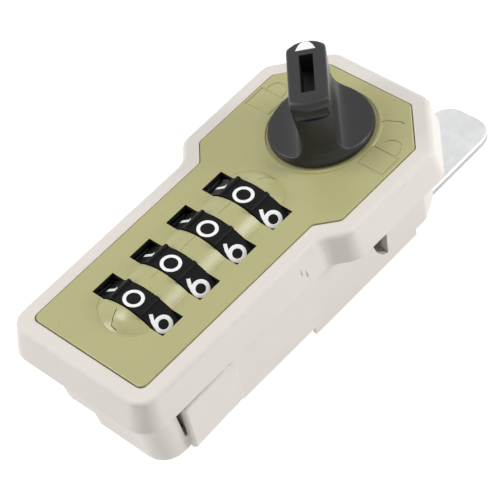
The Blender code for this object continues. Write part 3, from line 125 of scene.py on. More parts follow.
# Knob profiles in millimetres, (radius or half width, height above the foot)
KNOB_FOOT = [(14.5, 0.0), (14.5, 1.0), (14.25, 1.7), (13.95, 2.5), (13.45, 4.2)]
KNOB_WAIST = [(13.05, 6.4), (12.8, 9.0), (12.55, 12.0), (12.35, 15.0), (12.2, 17.4)]
KNOB_CROWN = [(12.1, 19.0), (11.9, 19.85), (11.35, 20.45), (10.5, 20.7)]
NOSE = [(7.6, 8.0), (7.55, 19.0), (7.4, 19.85), (7.0, 20.45), (6.3, 20.7)]
GRIP_FLANK = [(5.3, 20.7), (5.27, 18.5), (5.1, 15.8), (4.85, 13.2), (4.65, 11.0), (4.6, 9.0)]
GRIP_SCOOP = [(4.68, 7.2), (4.92, 5.8), (5.32, 4.7), (5.9, 3.8), (6.65, 3.15), (7.6, 2.68)]
GRIP_SKIRT = [(8.8, 2.36), (10.2, 2.12), (12.0, 1.88), (15.5, 1.5)]

# Lines on the faceplate in millimetres, (x, y)
NEAR_TICK = [(-1.6, 18.9), (-1.0, 17.0), (-0.05, 14.9), (1.9, 14.7)]
FAR_TICK = [(-0.6, 71.0), (0.0, 73.4), (1.6, 74.8)]
KNOB_TICK = [(12.0, 105.5), (14.3, 106.7), (16.2, 107.5), (17.8, 108.1)]
NEAR_RIM = [(-9.9, 19.9), (-8.2, 16.9), (-4.4, 14.6), (-0.6, 13.7), (3.4, 14.1), (6.9, 16.3), (8.9, 19.5)]
FAR_RIM = [(-9.6, 69.2), (-8.6, 71.9), (-5.4, 74.4), (-1.5, 75.3), (3.0, 74.8), (7.2, 72.5), (9.4, 69.4)]

# Openings in the housing's right wall in millimetres, (y, z)
WINDOW = [(88.6, -2.4), (81.9, -2.4), (82.2, -9.5), (83.5, -14.2), (85.3, -17.2), (87.5, -18.4)]
CLIP_HOLLOW = [(9.6, -2.5), (11.9, -2.5), (12.4, -14.5), (10.6, -14.5)]


# Tools

# Points closer than this are one corner
WELD = 0.002 * MM


def pick_only(thing):
    """Selects one object and makes it active."""
    bpy.ops.object.select_all(action="DESELECT")
    thing.select_set(True)
    bpy.context.view_layer.objects.active = thing
    return thing


def edit(thing):
    """Opens one object's mesh for editing."""
    pick_only(thing)
    bpy.ops.object.mode_set(mode="EDIT")


def leave():
    """Closes the mesh that is being edited."""
    bpy.ops.object.mode_set(mode="OBJECT")


def face_outwards():
    """Turns every face of the edited mesh outwards and closes it."""
    bpy.ops.mesh.select_all(action="SELECT")
    bpy.ops.mesh.normals_make_consistent(inside=False)
    leave()


def settle(thing, name):
    """Names a finished object and puts its place into its mesh."""
    pick_only(thing)
    bpy.ops.object.transform_apply(location=True, rotation=True, scale=True)
    thing.name = name
    thing.data.name = name
    return thing


def upright(face, slope):
    """True where a face's normal rises or falls by less than the slope."""
    return abs(face.normal.z) < slope


def linked_copy(source, name):
    """A new object with its own copy of the source's mesh."""
    thing = bpy.data.objects.new(name, source.data.copy())
    bpy.context.scene.collection.objects.link(thing)
    return thing


def merged_copy(node, name):
    """A copy of a CAD node whose loose triangles are merged back into flat faces."""
    thing = linked_copy(NODES[node], name)
    thing.data.materials.clear()
    edit(thing)
    bpy.ops.mesh.select_all(action="SELECT")
    bpy.ops.mesh.customdata_custom_splitnormals_clear()
    bpy.ops.mesh.remove_doubles(threshold=WELD)
    bpy.ops.mesh.dissolve_limited(angle_limit=math.radians(0.5))
    leave()
    return thing


def applied(thing, kind, **settings):
    """Adds one modifier with its settings and applies it."""
    step = thing.modifiers.new(kind.lower(), kind)
    for key, value in settings.items():
        setattr(step, key, value)
    pick_only(thing)
    bpy.ops.object.modifier_apply(modifier=step.name)
    return thing


def rounded_edges(thing, width, segments=2, limit=40):
    """Rounds the edges that bend by more than the limit, in degrees."""
    corner = math.radians(limit)
    return applied(thing, "BEVEL", width=width, segments=segments, limit_method="ANGLE", angle_limit=corner)


def combine(target, tool, operation):
    """Applies one boolean step and removes its tool."""
    applied(target, "BOOLEAN", operation=operation, solver="EXACT", material_mode="TRANSFER", object=tool)
    bpy.data.objects.remove(tool, do_unlink=True)
    return target


def smooth(thing, angle=40):
    """Shades smoothly across edges that bend by less than the angle, in degrees."""
    pick_only(thing)
    bpy.ops.object.shade_smooth_by_angle(angle=math.radians(angle))
    return thing


def finished(thing, name, angle=40):
    """Settles a moulded or pressed piece and keeps its flat faces flat in the shading."""
    settle(thing, name)
    smooth(thing, angle)
    return applied(thing, "WEIGHTED_NORMAL", keep_sharp=True)


def painted(thing, *finishes):
    """Gives an object these finishes and no others."""
    thing.data.materials.clear()
    for finish in finishes:
        thing.data.materials.append(finish)
    return thing


def block(low, high, finish=None):
    """A box from its low corner to its high corner."""
    middle = [(a + b) / 2 for a, b in zip(low, high)]
    bpy.ops.mesh.primitive_cube_add(size=1.0, location=middle)
    thing = bpy.context.object
    thing.scale = [b - a for a, b in zip(low, high)]
    bpy.ops.object.transform_apply(location=True, rotation=False, scale=True)
    if finish:
        painted(thing, finish)
    return thing


def lathe(profile, steps):
    """Grows a disc upwards ring by ring, through (radius, height) pairs."""
    radius, height = profile[0]
    bpy.ops.mesh.primitive_circle_add(
        vertices=steps,
        radius=radius,
        fill_type="NGON",
        location=(0, 0, height),
    )
    thing = bpy.context.object
    pick_only(thing)
    bpy.ops.object.transform_apply(location=True, rotation=False, scale=False)
    edit(thing)
    bpy.ops.mesh.select_all(action="SELECT")
    for wide, high in profile[1:]:
        bpy.ops.mesh.extrude_region_move(TRANSFORM_OT_translate={"value": (0, 0, high - height)})
        share = wide / radius
        bpy.ops.transform.resize(value=(share, share, 1), center_override=(0, 0, high))
        radius, height = wide, high
    face_outwards()
    return thing


def drawn_path(points):
    """Draws edges through points in space, and leaves them selected and open for editing."""
    bpy.ops.mesh.primitive_plane_add(size=MM, location=(0, 0, 0))
    thing = bpy.context.object
    edit(thing)
    bpy.ops.mesh.select_all(action="SELECT")
    bpy.ops.mesh.merge(type="CENTER")
    bpy.ops.transform.translate(value=points[0])
    for here, there in zip(points, points[1:]):
        step = tuple(b - a for a, b in zip(here, there))
        bpy.ops.mesh.extrude_region_move(TRANSFORM_OT_translate={"value": step})
    bpy.ops.mesh.select_all(action="SELECT")
    return thing


def pulled_outline(points, way):
    """Fills the outline through points in space and pulls it into a solid."""
    thing = drawn_path(points)
    bpy.ops.mesh.edge_face_add()
    bpy.ops.mesh.extrude_region_move(TRANSFORM_OT_translate={"value": way})
    face_outwards()
    return thing


def drawn_bar(points, reach):
    """An outline of (across, height) points pulled along X, as far as the reach on both sides."""
    return pulled_outline([(-reach, across, height) for across, height in points], (2 * reach, 0, 0))


# Finishes

# Most values of a noise lie between these two
NOISE_LOW = 0.3
NOISE_HIGH = 0.7


def new_finish(name):
    """A material with its node tree and its shader."""
    finish = bpy.data.materials.new(name)
    finish.use_nodes = True
    tree = finish.node_tree
    return finish, tree, tree.nodes["Principled BSDF"]


def add_noise(tree, scale, detail=2.0, rough=0.5):
    """A noise in the object's own coordinates."""
    place = tree.nodes.get("Texture Coordinate") or tree.nodes.new("ShaderNodeTexCoord")
    noise = tree.nodes.new("ShaderNodeTexNoise")
    noise.inputs["Scale"].default_value = scale
    noise.inputs["Detail"].default_value = detail
    noise.inputs["Roughness"].default_value = rough
    tree.links.new(place.outputs["Object"], noise.inputs["Vector"])
    return noise


def tint(tree, shader, noise, colour, spread):
    """Varies the colour a little with a noise."""
    ramp = tree.nodes.new("ShaderNodeValToRGB")
    low, high = ramp.color_ramp.elements
    low.position, high.position = NOISE_LOW, NOISE_HIGH
    low.color = (*[c * (1 - spread) for c in colour], 1)
    high.color = (*[min(c * (1 + spread), 1) for c in colour], 1)
    tree.links.new(noise.outputs["Fac"], ramp.inputs["Fac"])
    tree.links.new(ramp.outputs["Color"], shader.inputs["Base Color"])


def gloss(tree, shader, noise, low, high):
    """Varies the roughness between two values with a noise."""
    span = tree.nodes.new("ShaderNodeMapRange")
    span.inputs["From Min"].default_value = NOISE_LOW
    span.inputs["From Max"].default_value = NOISE_HIGH
    span.inputs["To Min"].default_value = low
    span.inputs["To Max"].default_value = high
    tree.links.new(noise.outputs["Fac"], span.inputs["Value"])
    tree.links.new(span.outputs["Result"], shader.inputs["Roughness"])


def relief(tree, shader, noise, height):
    """Raises a fine grain of the given height with a noise."""
    bump = tree.nodes.new("ShaderNodeBump")
    bump.inputs["Distance"].default_value = height
    bump.inputs["Strength"].default_value = 1.0
    tree.links.new(noise.outputs["Fac"], bump.inputs["Height"])
    tree.links.new(bump.outputs["Normal"], shader.inputs["Normal"])


def moulded_plastic(name, colour, low, high, grain, height, spread=0.03, specular=0.5):
    """Plastic with the fine spark-eroded grain of its mould and faint flow marks."""
    finish, tree, shader = new_finish(name)
    tint(tree, shader, add_noise(tree, scale=90.0, detail=4.0), colour, spread)
    gloss(tree, shader, add_noise(tree, scale=700.0, detail=3.0), low, high)
    relief(tree, shader, add_noise(tree, grain, detail=3.0, rough=0.6), height)
    shader.inputs["Specular IOR Level"].default_value = specular
    return finish


def plated_metal(name, colour, low, high, grain, height, spread=0.06):
    """Metal with a crystalline or rolled surface."""
    finish, tree, shader = new_finish(name)
    shader.inputs["Metallic"].default_value = 1.0
    tint(tree, shader, add_noise(tree, scale=260.0, detail=5.0, rough=0.65), colour, spread)
    gloss(tree, shader, add_noise(tree, scale=420.0, detail=4.0, rough=0.6), low, high)
    relief(tree, shader, add_noise(tree, grain, detail=4.0), height)
    return finish


def brushed_metal(name, colour, low, high):
    """Drawn wire or strip, with fine lines along one way."""
    finish, tree, shader = new_finish(name)
    shader.inputs["Metallic"].default_value = 1.0
    lines = add_noise(tree, scale=900.0, detail=3.0)
    stretch = tree.nodes.new("ShaderNodeMapping")
    stretch.inputs["Scale"].default_value = (1.0, 0.06, 1.0)
    place = tree.nodes["Texture Coordinate"]
    tree.links.new(place.outputs["Object"], stretch.inputs["Vector"])
    tree.links.new(stretch.outputs["Vector"], lines.inputs["Vector"])
    tint(tree, shader, add_noise(tree, scale=300.0), colour, spread=0.05)
    gloss(tree, shader, lines, low, high)
    relief(tree, shader, lines, height=0.004 * MM)
    return finish


shell_plastic = moulded_plastic(
    "warm white shell",
    (0.76, 0.715, 0.665),
    low=0.40,
    high=0.52,
    grain=2600.0,
    height=0.008 * MM,
    spread=0.012,
)
plate_plastic = moulded_plastic(
    "olive faceplate",
    (0.455, 0.435, 0.205),
    low=0.27,
    high=0.31,
    grain=3200.0,
    height=0.0006 * MM,
    spread=0.015,
)
# Paler olive: a painted highlight on the sunk sign lines and on the barrel's feet
painted_highlight_plastic = moulded_plastic(
    "paler lines, painted highlight",
    (0.56, 0.54, 0.30),
    low=0.27,
    high=0.31,
    grain=3200.0,
    height=0.0006 * MM,
    spread=0.015,
)
dial_plastic = moulded_plastic(
    "dial black",
    (0.011, 0.011, 0.0115),
    low=0.32,
    high=0.42,
    grain=1400.0,
    height=0.001 * MM,
    spread=0.1,
    specular=0.06,
)
knob_plastic = moulded_plastic(
    "knob charcoal",
    (0.0135, 0.0135, 0.014),
    low=0.30,
    high=0.38,
    grain=1400.0,
    height=0.001 * MM,
    spread=0.08,
    specular=0.42,
)
# Near-black: the plunger's own colour, and painted shade on the walls of the slots and hollows
plunger_black_and_pit_shade = moulded_plastic(
    "plunger black and painted pit shade",
    (0.006, 0.006, 0.006),
    low=0.5,
    high=0.6,
    grain=1800.0,
    height=0.006 * MM,
    spread=0.1,
)
inner_nylon = moulded_plastic(
    "sleeve nylon",
    (0.70, 0.68, 0.62),
    low=0.45,
    high=0.6,
    grain=1500.0,
    height=0.010 * MM,
)
number_ink = moulded_plastic(
    "white ink",
    (0.93, 0.93, 0.92),
    low=0.4,
    high=0.5,
    grain=2200.0,
    height=0.004 * MM,
    spread=0.01,
)
cam_metal = plated_metal(
    "galvanised cam",
    (0.66, 0.665, 0.67),
    low=0.32,
    high=0.44,
    grain=1200.0,
    height=0.004 * MM,
    spread=0.05,
)
# A darker copy of the cam's metal: painted shade on its upright sides
cam_side_shade = plated_metal(
    "painted shade on cam sides",
    (0.42, 0.425, 0.43),
    low=0.38,
    high=0.52,
    grain=1200.0,
    height=0.006 * MM,
    spread=0.08,
)
zinc_metal = plated_metal(
    "zinc plate",
    (0.48, 0.49, 0.51),
    low=0.30,
    high=0.42,
    grain=1500.0,
    height=0.006 * MM,
)
bush_metal = brushed_metal("turned brass", (0.74, 0.55, 0.26), low=0.26, high=0.38)
spring_metal = brushed_metal("blue spring steel", (0.42, 0.42, 0.44), low=0.25, high=0.38)

SLOT_FINISH = {
    "shell": shell_plastic,
    "plate": plate_plastic,
    "dial_black": dial_plastic,
    "knob_charcoal": knob_plastic,
    "nylon": inner_nylon,
    "steel": zinc_metal,
    "cam_steel": cam_metal,
    "brass": bush_metal,
    "spring_steel": spring_metal,
}


def dress_frame():
    """Gives each carried-over node the finish of its slot in the record."""
    for item in frame["record"]["subparts"]:
        painted(NODES[item["node"]], SLOT_FINISH[item["material_slot"]])
    painted(NODES["master_key_plunger"], plunger_black_and_pit_shade)


# Printed numbers on the dials


def stroke(start, heading, moves, width=STROKE):
    """Sweeps a round section: a length runs straight on, and (radius, degrees) turns left or right."""
    x, y = start
    h = math.radians(heading)
    bpy.ops.mesh.primitive_circle_add(
        vertices=8,
        radius=width / 2,
        fill_type="NGON",
        location=(x, y, 0),
        rotation=(math.pi / 2, 0, h + math.pi / 2),
    )
    for move in moves:
        if isinstance(move, tuple):
            radius, degrees = move
            turn = math.radians(degrees)
            side = 1 if turn > 0 else -1
            cx = x - math.sin(h) * radius * side
            cy = y + math.cos(h) * radius * side
            bpy.ops.mesh.spin(
                steps=max(3, round(abs(degrees) / 15)),
                angle=-turn,
                center=(cx, cy, 0),
                axis=(0, 0, 1),
            )
            h += turn
            x = cx + math.sin(h) * radius * side
            y = cy - math.cos(h) * radius * side
        else:
            step = (math.cos(h) * move, math.sin(h) * move, 0)
            bpy.ops.mesh.extrude_region_move(TRANSFORM_OT_translate={"value": step})
            x += step[0]
            y += step[1]


def ring(centre, across, tall):
    """An oval ring of the printed line."""
    bpy.ops.mesh.primitive_torus_add(
        major_segments=32,
        minor_segments=8,
        major_radius=(tall - STROKE) / 2,
        minor_radius=STROKE / 2,
        location=(*centre, 0),
    )
    share = (across - STROKE) / (tall - STROKE)
    bpy.ops.transform.resize(value=(share, 1, 1), center_override=(*centre, 0))


def numeral(digit):
    """One number drawn flat round the origin, with its top towards +Y."""
    half = HALF_NUMBER
    bpy.ops.mesh.primitive_circle_add(vertices=3, radius=0.01 * MM)
    thing = bpy.context.object
    edit(thing)
    bpy.ops.mesh.select_all(action="SELECT")
    bpy.ops.mesh.delete(type="VERT")
    if digit == 0:
        ring((0, 0), 5.55 * MM, 6.3 * MM)
    elif digit == 1:
        stroke((-0.1 * MM, -half + 0.2 * MM), 90, [2 * half + 0.3 * MM])
        stroke((-0.1 * MM, half), 215, [1.3 * MM], FLAG_STROKE)
    elif digit == 2:
        stroke((-1.7 * MM, 1.0 * MM), 78, [(1.55 * MM, -190), (6.5 * MM, -28)])
        stroke((-2.1 * MM, -half), 0, [4.2 * MM])
    elif digit == 3:
        stroke((-1.7 * MM, 1.7 * MM), 50, [(1.4 * MM, -225)])
        stroke((-0.4 * MM, 0.15 * MM), 0, [(1.42 * MM, -215)])
    elif digit == 4:
        stroke((0.9 * MM, -half - STROKE / 2), 90, [2 * half + STROKE])
        stroke((0.9 * MM, half), 228, [4.6 * MM])
        stroke((-2.3 * MM, -1.0 * MM), 0, [4.6 * MM])
    elif digit == 5:
        stroke((1.9 * MM, half), 180, [3.3 * MM])
        stroke((-1.3 * MM, half), 262, [2.3 * MM])
        stroke((-1.6 * MM, 0.1 * MM), 35, [(1.7 * MM, -235)])
    elif digit in (6, 9):
        ring((0.15 * MM, 0.5 * MM), 5.1 * MM, 4.7 * MM)
        stroke((2.18 * MM, 0.5 * MM), 270, [(6.0 * MM, -34), 0.75 * MM])
    elif digit == 7:
        stroke((-2.0 * MM, half), 0, [4.1 * MM])
        stroke((1.8 * MM, half), 247, [(14.0 * MM, 12), 2.6 * MM])
    elif digit == 8:
        ring((0, 1.35 * MM), 3.7 * MM, 3.2 * MM)
        ring((0, -1.3 * MM), 4.2 * MM, 3.5 * MM)
    bpy.ops.mesh.select_all(action="SELECT")
    if digit == 6:
        bpy.ops.transform.resize(value=(-1, -1, 1), center_override=(0, 0, 0))
    bpy.ops.transform.translate(value=(NUMBER_SHIFT, 0, 0))
    bpy.ops.transform.resize(value=(1, 1, 2 * INK / STROKE), center_override=(0, 0, 0))
    bpy.ops.mesh.remove_doubles(threshold=WELD / 2)
    face_outwards()
    return thing


def on_face(mark, digit):
    """Moves a flat number onto its face of a ten-sided dial that stands at y = 0."""
    angle = -2 * math.pi * digit / 10
    outward = Vector((math.sin(angle), 0, math.cos(angle)))
    upward = Vector((math.cos(angle), 0, -math.sin(angle)))
    place = Matrix((upward.cross(outward), upward, outward)).transposed().to_4x4()
    place.translation = Vector((0, 0, AXLE_Z)) + outward * (DIAL_RADIUS + INK_LIFT)
    mark.data.transform(place)
    return mark


def dial_numbers():
    """The ten numbers of a wheel, made once and copied to all four."""
    marks = [on_face(numeral(digit), digit) for digit in range(10)]
    bpy.ops.object.select_all(action="DESELECT")
    for mark in marks:
        mark.select_set(True)
    bpy.context.view_layer.objects.active = marks[0]
    bpy.ops.object.join()
    first = bpy.context.object
    for index, y in enumerate(DIAL_PLACES):
        numbers = linked_copy(first, f"dial_numbers_{index + 1}")
        numbers.data.transform(Matrix.Translation((0, y, 0)))
        settle(numbers, f"dial_numbers_{index + 1}")
        smooth(painted(numbers, number_ink), 50)
        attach(numbers, f"dial_{index + 1}")
    bpy.data.objects.remove(first, do_unlink=True)


# Knob


def above_foot(profile):
    """A profile of the knob in metres, from the plane of its foot."""
    return [(wide * MM, KNOB_BASE + height * MM) for wide, height in profile]


def grip_bar():
    """A bar with the section across the grip and the scoops beside it, as long as the knob."""
    reach, chamfer = 16 * MM, 0.5 * MM
    flank = above_foot(GRIP_FLANK + GRIP_SCOOP + GRIP_SKIRT)
    (wide, top), rest = flank[0], flank[1:]
    right = [(wide - chamfer, top), (wide, top - chamfer), *rest, (rest[-1][0], KNOB_BASE - 2 * MM)]
    return drawn_bar(right + [(-w, h) for w, h in reversed(right)], reach)


def turned_to_rest(thing):
    """Turns a piece that was made with the grip along X to the locked position, on the knob's axis."""
    pick_only(thing)
    thing.rotation_euler = (0, 0, KNOB_TURN)
    thing.location = (0, KNOB_Y, 0)
    bpy.ops.object.transform_apply(location=True, rotation=True, scale=True)
    return thing


def round_far_corners(body):
    """Wears the two upright corners of the grip's far end round, as the mould has them."""
    far, flank, low = 9.2 * MM, 3.3 * MM, KNOB_BASE + 6 * MM
    corners = body.vertex_groups.new(name="far corners")
    chosen = []
    for point in body.data.vertices:
        x, y, z = point.co
        if x > far and abs(y) > flank and z > low:
            chosen.append(point.index)
    corners.add(chosen, 1.0, "REPLACE")
    applied(body, "SMOOTH", factor=0.5, iterations=45, vertex_group=corners.name)
    body.vertex_groups.clear()


def finger_pockets(body):
    """The shallow pocket high in each end of the grip."""
    half, low, high = 4.7 * MM, KNOB_BASE + 15.4 * MM, KNOB_BASE + 18.7 * MM
    floor_x, outside_x = 11.2 * MM, 15.0 * MM
    for way in (1, -1):
        near, far = sorted((way * floor_x, way * outside_x))
        pocket = block((near, -half, low), (far, half, high))
        rounded_edges(pocket, 0.7 * MM, 4)
        combine(body, painted(pocket, knob_plastic), "DIFFERENCE")


def knob_grip():
    """The turned foot and the waisted grip, as one soft moulding."""
    body = lathe(above_foot(KNOB_FOOT + KNOB_WAIST + KNOB_CROWN), KNOB_STEPS)
    bow = lathe(above_foot(NOSE), KNOB_STEPS)
    bow.location.x = NOSE_PLACE
    combine(body, bow, "UNION")
    combine(body, grip_bar(), "INTERSECT")
    applied(body, "REMESH", mode="VOXEL", voxel_size=0.21 * MM)
    applied(body, "SMOOTH", factor=0.5, iterations=5)
    round_far_corners(body)
    finger_pockets(body)
    return body


def knob_piece():
    """The whole knob with its neck, its square socket and the master-key slot."""
    neck_radius, neck_foot, neck_top = 7.5 * MM, -0.1 * MM, KNOB_BASE + 1.0 * MM
    socket_half, slot_half = 4.3 * MM, 1.86 * MM
    socket = (socket_half, socket_half, -1.1 * MM, 18.3 * MM)
    chamber = (5.3 * MM, slot_half, 17.3 * MM, 21.5 * MM)
    slot = (6.9 * MM, slot_half, KNOB_TOP - 6.2 * MM, KNOB_TOP + MM)
    body = painted(knob_grip(), knob_plastic)
    neck = lathe([(neck_radius, neck_foot), (neck_radius, neck_top)], NECK_STEPS)
    combine(body, painted(neck, knob_plastic), "UNION")
    # The hollows' walls take the plunger black, darker than the knob: painted shade inside them
    for along, across, low, high in (socket, chamber, slot):
        hollow = block((-along, -across, low), (along, across, high), plunger_black_and_pit_shade)
        combine(body, hollow, "DIFFERENCE")
    return body


def knob_mark(body):
    """The white rounded triangle printed on the far end of the grip's top."""
    reach, half, start, fullness = 3.2 * MM, 2.7 * MM, 8.7 * MM, 2.2
    low, tall = KNOB_TOP - 2.2 * MM, 4 * MM
    steps = 9
    bow = [-1 + 2 * k / (steps - 1) for k in range(steps)]
    outline = [(start + reach * (1 - abs(t) ** fullness), t * half, low) for t in bow]
    stamp = pulled_outline(outline, (0, 0, tall))
    pick_only(body)
    bpy.ops.object.duplicate()
    film = bpy.context.object
    applied(film, "DISPLACE", strength=INK, mid_level=0.0)
    combine(film, stamp, "INTERSECT")
    pick_only(body)
    bpy.ops.object.duplicate()
    combine(film, bpy.context.object, "DIFFERENCE")
    return film


def dress_knob():
    """The knob's soft moulding in place of its plain solid, with the printed mark."""
    body = knob_piece()
    film = knob_mark(body)
    turned_to_rest(body)
    settle(body, "knob_moulding")
    smooth(body)
    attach(body, "turning_knob")
    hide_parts("knob")
    turned_to_rest(film)
    settle(film, "knob_mark")
    smooth(painted(film, number_ink))
    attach(film, "turning_knob")


# Faceplate


def bridges():
    """The middle of each bridge between two dials."""
    return [y + DIAL_PITCH / 2 for y in DIAL_PLACES[:-1]]


def drawn_line(points, width, foot=-0.1 * MM, tall=6.0 * MM):
    """A narrow upright blade that follows (x, y) points in millimetres, from foot above the plate."""
    blade = drawn_path([(x * MM, y * MM, 0) for x, y in points])
    bpy.ops.mesh.extrude_region_move(TRANSFORM_OT_translate={"value": (0, 0, tall)})
    leave()
    applied(blade, "SOLIDIFY", thickness=width, offset=0.0)
    blade.location.z = PLATE_Z + foot
    return blade


def plate_marks(plate):
    """The thin lines sunk in the barrel and beside the knob."""
    crest = AXLE_Z + BARREL_RADIUS
    left, right, deep = -1.2 * MM, -1.05 * MM, 0.22 * MM
    lengths = (3.0 * MM, 6.0 * MM, 4.8 * MM)
    for middle, length in zip(bridges(), lengths):
        end = middle + BRIDGE_HALF
        groove = block((left, end - length, crest - deep), (right, end, crest + MM))
        combine(plate, rounded_edges(groove, 0.05 * MM, 1, 30), "DIFFERENCE")
    combine(plate, drawn_line(NEAR_TICK, 0.24 * MM), "DIFFERENCE")
    combine(plate, drawn_line(FAR_TICK, 0.18 * MM), "DIFFERENCE")
    combine(plate, drawn_line(KNOB_TICK, 0.26 * MM, -0.25 * MM), "DIFFERENCE")


def barrel_feet(plate):
    """A fine raised line where the barrel meets the plate, painted paler as a highlight."""
    foot = math.sqrt(BARREL_RADIUS**2 - (PLATE_Z - AXLE_Z) ** 2) + 0.05 * MM
    for middle in bridges():
        bpy.ops.mesh.primitive_cylinder_add(
            vertices=12,
            radius=0.16 * MM,
            depth=2 * BRIDGE_HALF,
            location=(foot, middle, PLATE_Z),
            rotation=(math.pi / 2, 0, 0),
        )
        combine(plate, painted(bpy.context.object, painted_highlight_plastic), "UNION")


def dome_rims(plate):
    """The fine raised edge round the barrel's two domed ends."""
    for outline in (NEAR_RIM, FAR_RIM):
        edge = drawn_line(outline, 0.3 * MM, -0.3 * MM, 0.4 * MM)
        combine(plate, rounded_edges(painted(edge, plate_plastic), 0.08 * MM, 2, 60), "UNION")


def in_slot(face):
    """True on the upright walls inside the dials' slots, short of their lit ends; these are painted black as
    shade.
    """
    x, y = face.center.xy
    inside = abs(x) < SLOT_REACH and any(abs(y - place) < SLOT_HALF for place in DIAL_PLACES)
    return inside and upright(face, 0.5) and x < SLOT_LIT


def in_sunk_line(face):
    """True on the floor and walls of the lines cut in the plate's head, clear of its rim and of the knob;
    these are painted paler as a highlight.
    """
    x, y, z = face.center
    clear = abs(x) < SIGN_HALF and KNOB_Y - SIGN_BELOW < y < KNOB_Y + SIGN_ABOVE
    away = math.hypot(x, y - KNOB_Y) > KNOB_RING
    return clear and away and PLATE_Z - SIGN_DEPTH < z < PLATE_Z - SKIN


def dress_plate():
    """The olive faceplate, with painted black shade on its slot walls, a painted paler highlight on its sunk
    signs, and the fine lines of its mould.
    """
    plate = merged_copy("faceplate", "faceplate_moulding")
    painted(plate, plate_plastic, plunger_black_and_pit_shade, painted_highlight_plastic)
    # dark is painted shade on the slot walls; pale is a painted highlight on the sunk sign lines
    dark, pale = 1, 2
    for face in plate.data.polygons:
        if in_slot(face):
            face.material_index = dark
        elif in_sunk_line(face):
            face.material_index = pale
    plate_marks(plate)
    barrel_feet(plate)
    dome_rims(plate)
    finished(plate, "faceplate_moulding", 30)
    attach(plate, "case")
    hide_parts("faceplate")


# Bezel, housing, clips and cam


def bezel_marks(bezel):
    """Two small witness marks of the mould on the right flank, by the neck."""
    outside, sunk, slim = 40 * MM, 0.06 * MM, 0.13
    lower_mark = (57.1 * MM, 3.6 * MM, 7.7 * MM)
    upper_mark = (58.5 * MM, 1.9 * MM, 6.2 * MM)
    for y, low, high in (lower_mark, upper_mark):
        middle = (low + high) / 2
        place = bezel.ray_cast(Vector((outside, y, middle)), Vector((-1, 0, 0)))[1]
        bpy.ops.mesh.primitive_uv_sphere_add(
            segments=20,
            ring_count=12,
            radius=(high - low) / 2,
            location=(0, 0, 0),
        )
        lens = bpy.context.object
        lens.scale = (slim, slim, 1)
        lens.location = (place.x + sunk, y, middle)
        combine(bezel, painted(lens, shell_plastic), "DIFFERENCE")


def dress_bezel():
    """The pale surround, with its witness marks and the nick at the plate's lower edge."""
    nick_low, nick_high = (-5.4 * MM, 5.1 * MM, 8.2 * MM), (-2.6 * MM, 5.75 * MM, 9.6 * MM)
    bezel = painted(merged_copy("front_bezel", "bezel_moulding"), shell_plastic)
    bezel_marks(bezel)
    nick = block(nick_low, nick_high, shell_plastic)
    combine(bezel, rounded_edges(nick, 0.15 * MM), "DIFFERENCE")
    finished(bezel, "bezel_moulding")
    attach(bezel, "case")
    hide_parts("front_bezel")


def wall_opening(housing, outline, inner):
    """Cuts an outline of (y, z) points in millimetres through the right wall, from x inner outwards."""
    outer = 27.0 * MM
    tool = drawn_bar([(y * MM, z * MM) for y, z in outline], (outer - inner) / 2)
    tool.location.x = (inner + outer) / 2
    combine(housing, tool, "DIFFERENCE")


def dress_housing():
    """The box behind the door, with its side window opened to full height and a hollow behind the clip."""
    housing = painted(merged_copy("rear_housing", "housing_moulding"), shell_plastic)
    wall_opening(housing, WINDOW, 20.2 * MM)
    wall_opening(housing, CLIP_HOLLOW, 18.6 * MM)
    finished(housing, "housing_moulding")
    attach(housing, "case")
    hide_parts("rear_housing")


def clip_plate(low, high):
    """The right clip's outer plate round the CAD clip's box, leaning inwards to its far end and its back."""
    thick, proud, longer = 2.2 * MM, 0.9 * MM, 2.6 * MM
    lean_far, lean_back, inner_lean = 0.75 * MM, 1.45 * MM, 1.2 * MM
    near, far = low[1], high[1] + longer
    outer = max(abs(low[0]), abs(high[0]))
    plate = block((outer - thick, near, low[2]), (outer + proud, far, high[2]), shell_plastic)
    for corner in plate.data.vertices:
        at_far = corner.co.y > (near + far) / 2
        at_back = corner.co.z < (low[2] + high[2]) / 2
        if corner.co.x > outer:
            corner.co.x -= at_far * lean_far + at_back * lean_back
        elif at_back:
            corner.co.x -= inner_lean
    return rounded_edges(plate, 0.8 * MM, 4, 60)


def dress_clip(side, name):
    """A side clip whose plate stands a little proud of the box, most at its near end."""
    node = "side_clip_" + name
    piece = painted(merged_copy(node, node), shell_plastic)
    plate = clip_plate(*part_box(node))
    if side < 0:
        edit(plate)
        bpy.ops.mesh.select_all(action="SELECT")
        bpy.ops.transform.resize(value=(-1, 1, 1), center_override=(0, 0, 0))
        face_outwards()
    combine(piece, plate, "UNION")
    finished(piece, "clip_moulding_" + name)
    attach(piece, "case")
    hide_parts(node)


def dress_cam():
    """The galvanised latch plate, with painted shade on its upright sides."""
    cam = painted(merged_copy("cam", "cam_plate"), cam_metal, cam_side_shade)
    # Upright faces take the darker copy, as painted shade
    for face in cam.data.polygons:
        face.material_index = 1 if upright(face, 0.3) else 0
    finished(cam, "cam_plate", 50)
    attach(cam, "turning_knob")
    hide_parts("cam")


# Stage

LOCK_MIDDLE = (0, 0.07, 0)


def seen_directly(tree):
    """Gives 1 to the rays of the camera and of mirror reflections, and 0 to the others."""
    rays = tree.nodes.new("ShaderNodeLightPath")
    seen = tree.nodes.new("ShaderNodeMath")
    seen.operation = "MAXIMUM"
    tree.links.new(rays.outputs["Is Camera Ray"], seen.inputs[0])
    tree.links.new(rays.outputs["Is Glossy Ray"], seen.inputs[1])
    return seen.outputs[0]


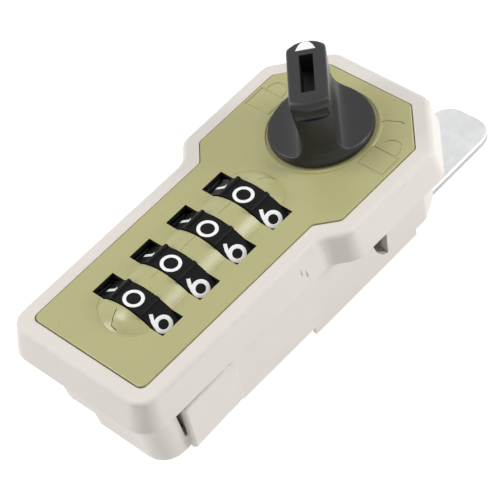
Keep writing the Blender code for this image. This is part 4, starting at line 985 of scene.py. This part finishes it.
def floor():
    """A pale floor that stays white to the camera and still takes a soft shadow."""
    under = cad_box[0].z - 0.2 * MM
    bpy.ops.mesh.primitive_plane_add(size=30.0, location=(0, 0, under))
    sheet = settle(bpy.context.object, "floor")
    finish, tree, shader = new_finish("pale floor")
    shader.inputs["Base Color"].default_value = (0.93, 0.93, 0.93, 1)
    shader.inputs["Roughness"].default_value = 0.9
    shader.inputs["Emission Color"].default_value = (1, 1, 1, 1)
    level = tree.nodes.new("ShaderNodeMath")
    level.operation = "MULTIPLY"
    level.inputs[1].default_value = 0.6
    tree.links.new(seen_directly(tree), level.inputs[0])
    tree.links.new(level.outputs[0], shader.inputs["Emission Strength"])
    painted(sheet, finish)


def lamp(name, place, size, power):
    """A round soft lamp that points at the lock."""
    bpy.ops.object.light_add(type="AREA", location=place)
    light = bpy.context.object
    light.name = name
    light.data.shape = "DISK"
    light.data.size = size
    light.data.energy = power
    aim = Vector(LOCK_MIDDLE) - Vector(place)
    light.rotation_euler = aim.to_track_quat("-Z", "Y").to_euler()


def studio():
    """A white room, dimmer as a light than as it looks, and four lamps."""
    world = bpy.data.worlds.new("studio")
    bpy.context.scene.world = world
    world.use_nodes = True
    tree = world.node_tree
    back = tree.nodes["Background"]
    back.inputs["Color"].default_value = (1, 1, 1, 1)
    level = tree.nodes.new("ShaderNodeMapRange")
    level.inputs["To Min"].default_value = 0.29
    level.inputs["To Max"].default_value = 1.0
    tree.links.new(seen_directly(tree), level.inputs["Value"])
    tree.links.new(level.outputs["Result"], back.inputs["Strength"])
    lamp("key", (-0.7, -0.15, 1.2), size=0.45, power=5.5)
    lamp("over", (0.22, 0.50, 0.97), size=0.30, power=2.9)
    lamp("left", (-0.6, -0.62, 0.42), size=0.4, power=3.1)
    lamp("right", (0.7, 0.7, 0.30), size=0.4, power=4.2)


def photo_camera():
    """The photograph's point of view, found by fitting the lock's own edges."""
    place = Vector((328.74, -156.05, 420.32)) * MM
    forward = Vector((-0.56570, 0.37427, -0.73479))
    right = Vector((0.71346, 0.66894, -0.20855))
    down = Vector((0.41347, -0.64222, -0.64544))
    bpy.ops.object.camera_add()
    camera = bpy.context.object
    turn = Matrix((right, -down, -forward)).transposed().to_4x4()
    camera.matrix_world = Matrix.Translation(place) @ turn
    camera.data.sensor_width = 36.0
    camera.data.lens = 158.58
    camera.data.clip_start = 0.01
    camera.data.clip_end = 50.0
    bpy.context.scene.camera = camera
    bpy.context.scene.view_settings.view_transform = "Standard"


dress_frame()
dial_numbers()
dress_knob()
dress_bezel()
dress_plate()
dress_housing()
dress_clip(1, "right")
dress_clip(-1, "left")
dress_cam()
floor()
studio()
photo_camera()
bpy.context.view_layer.update()
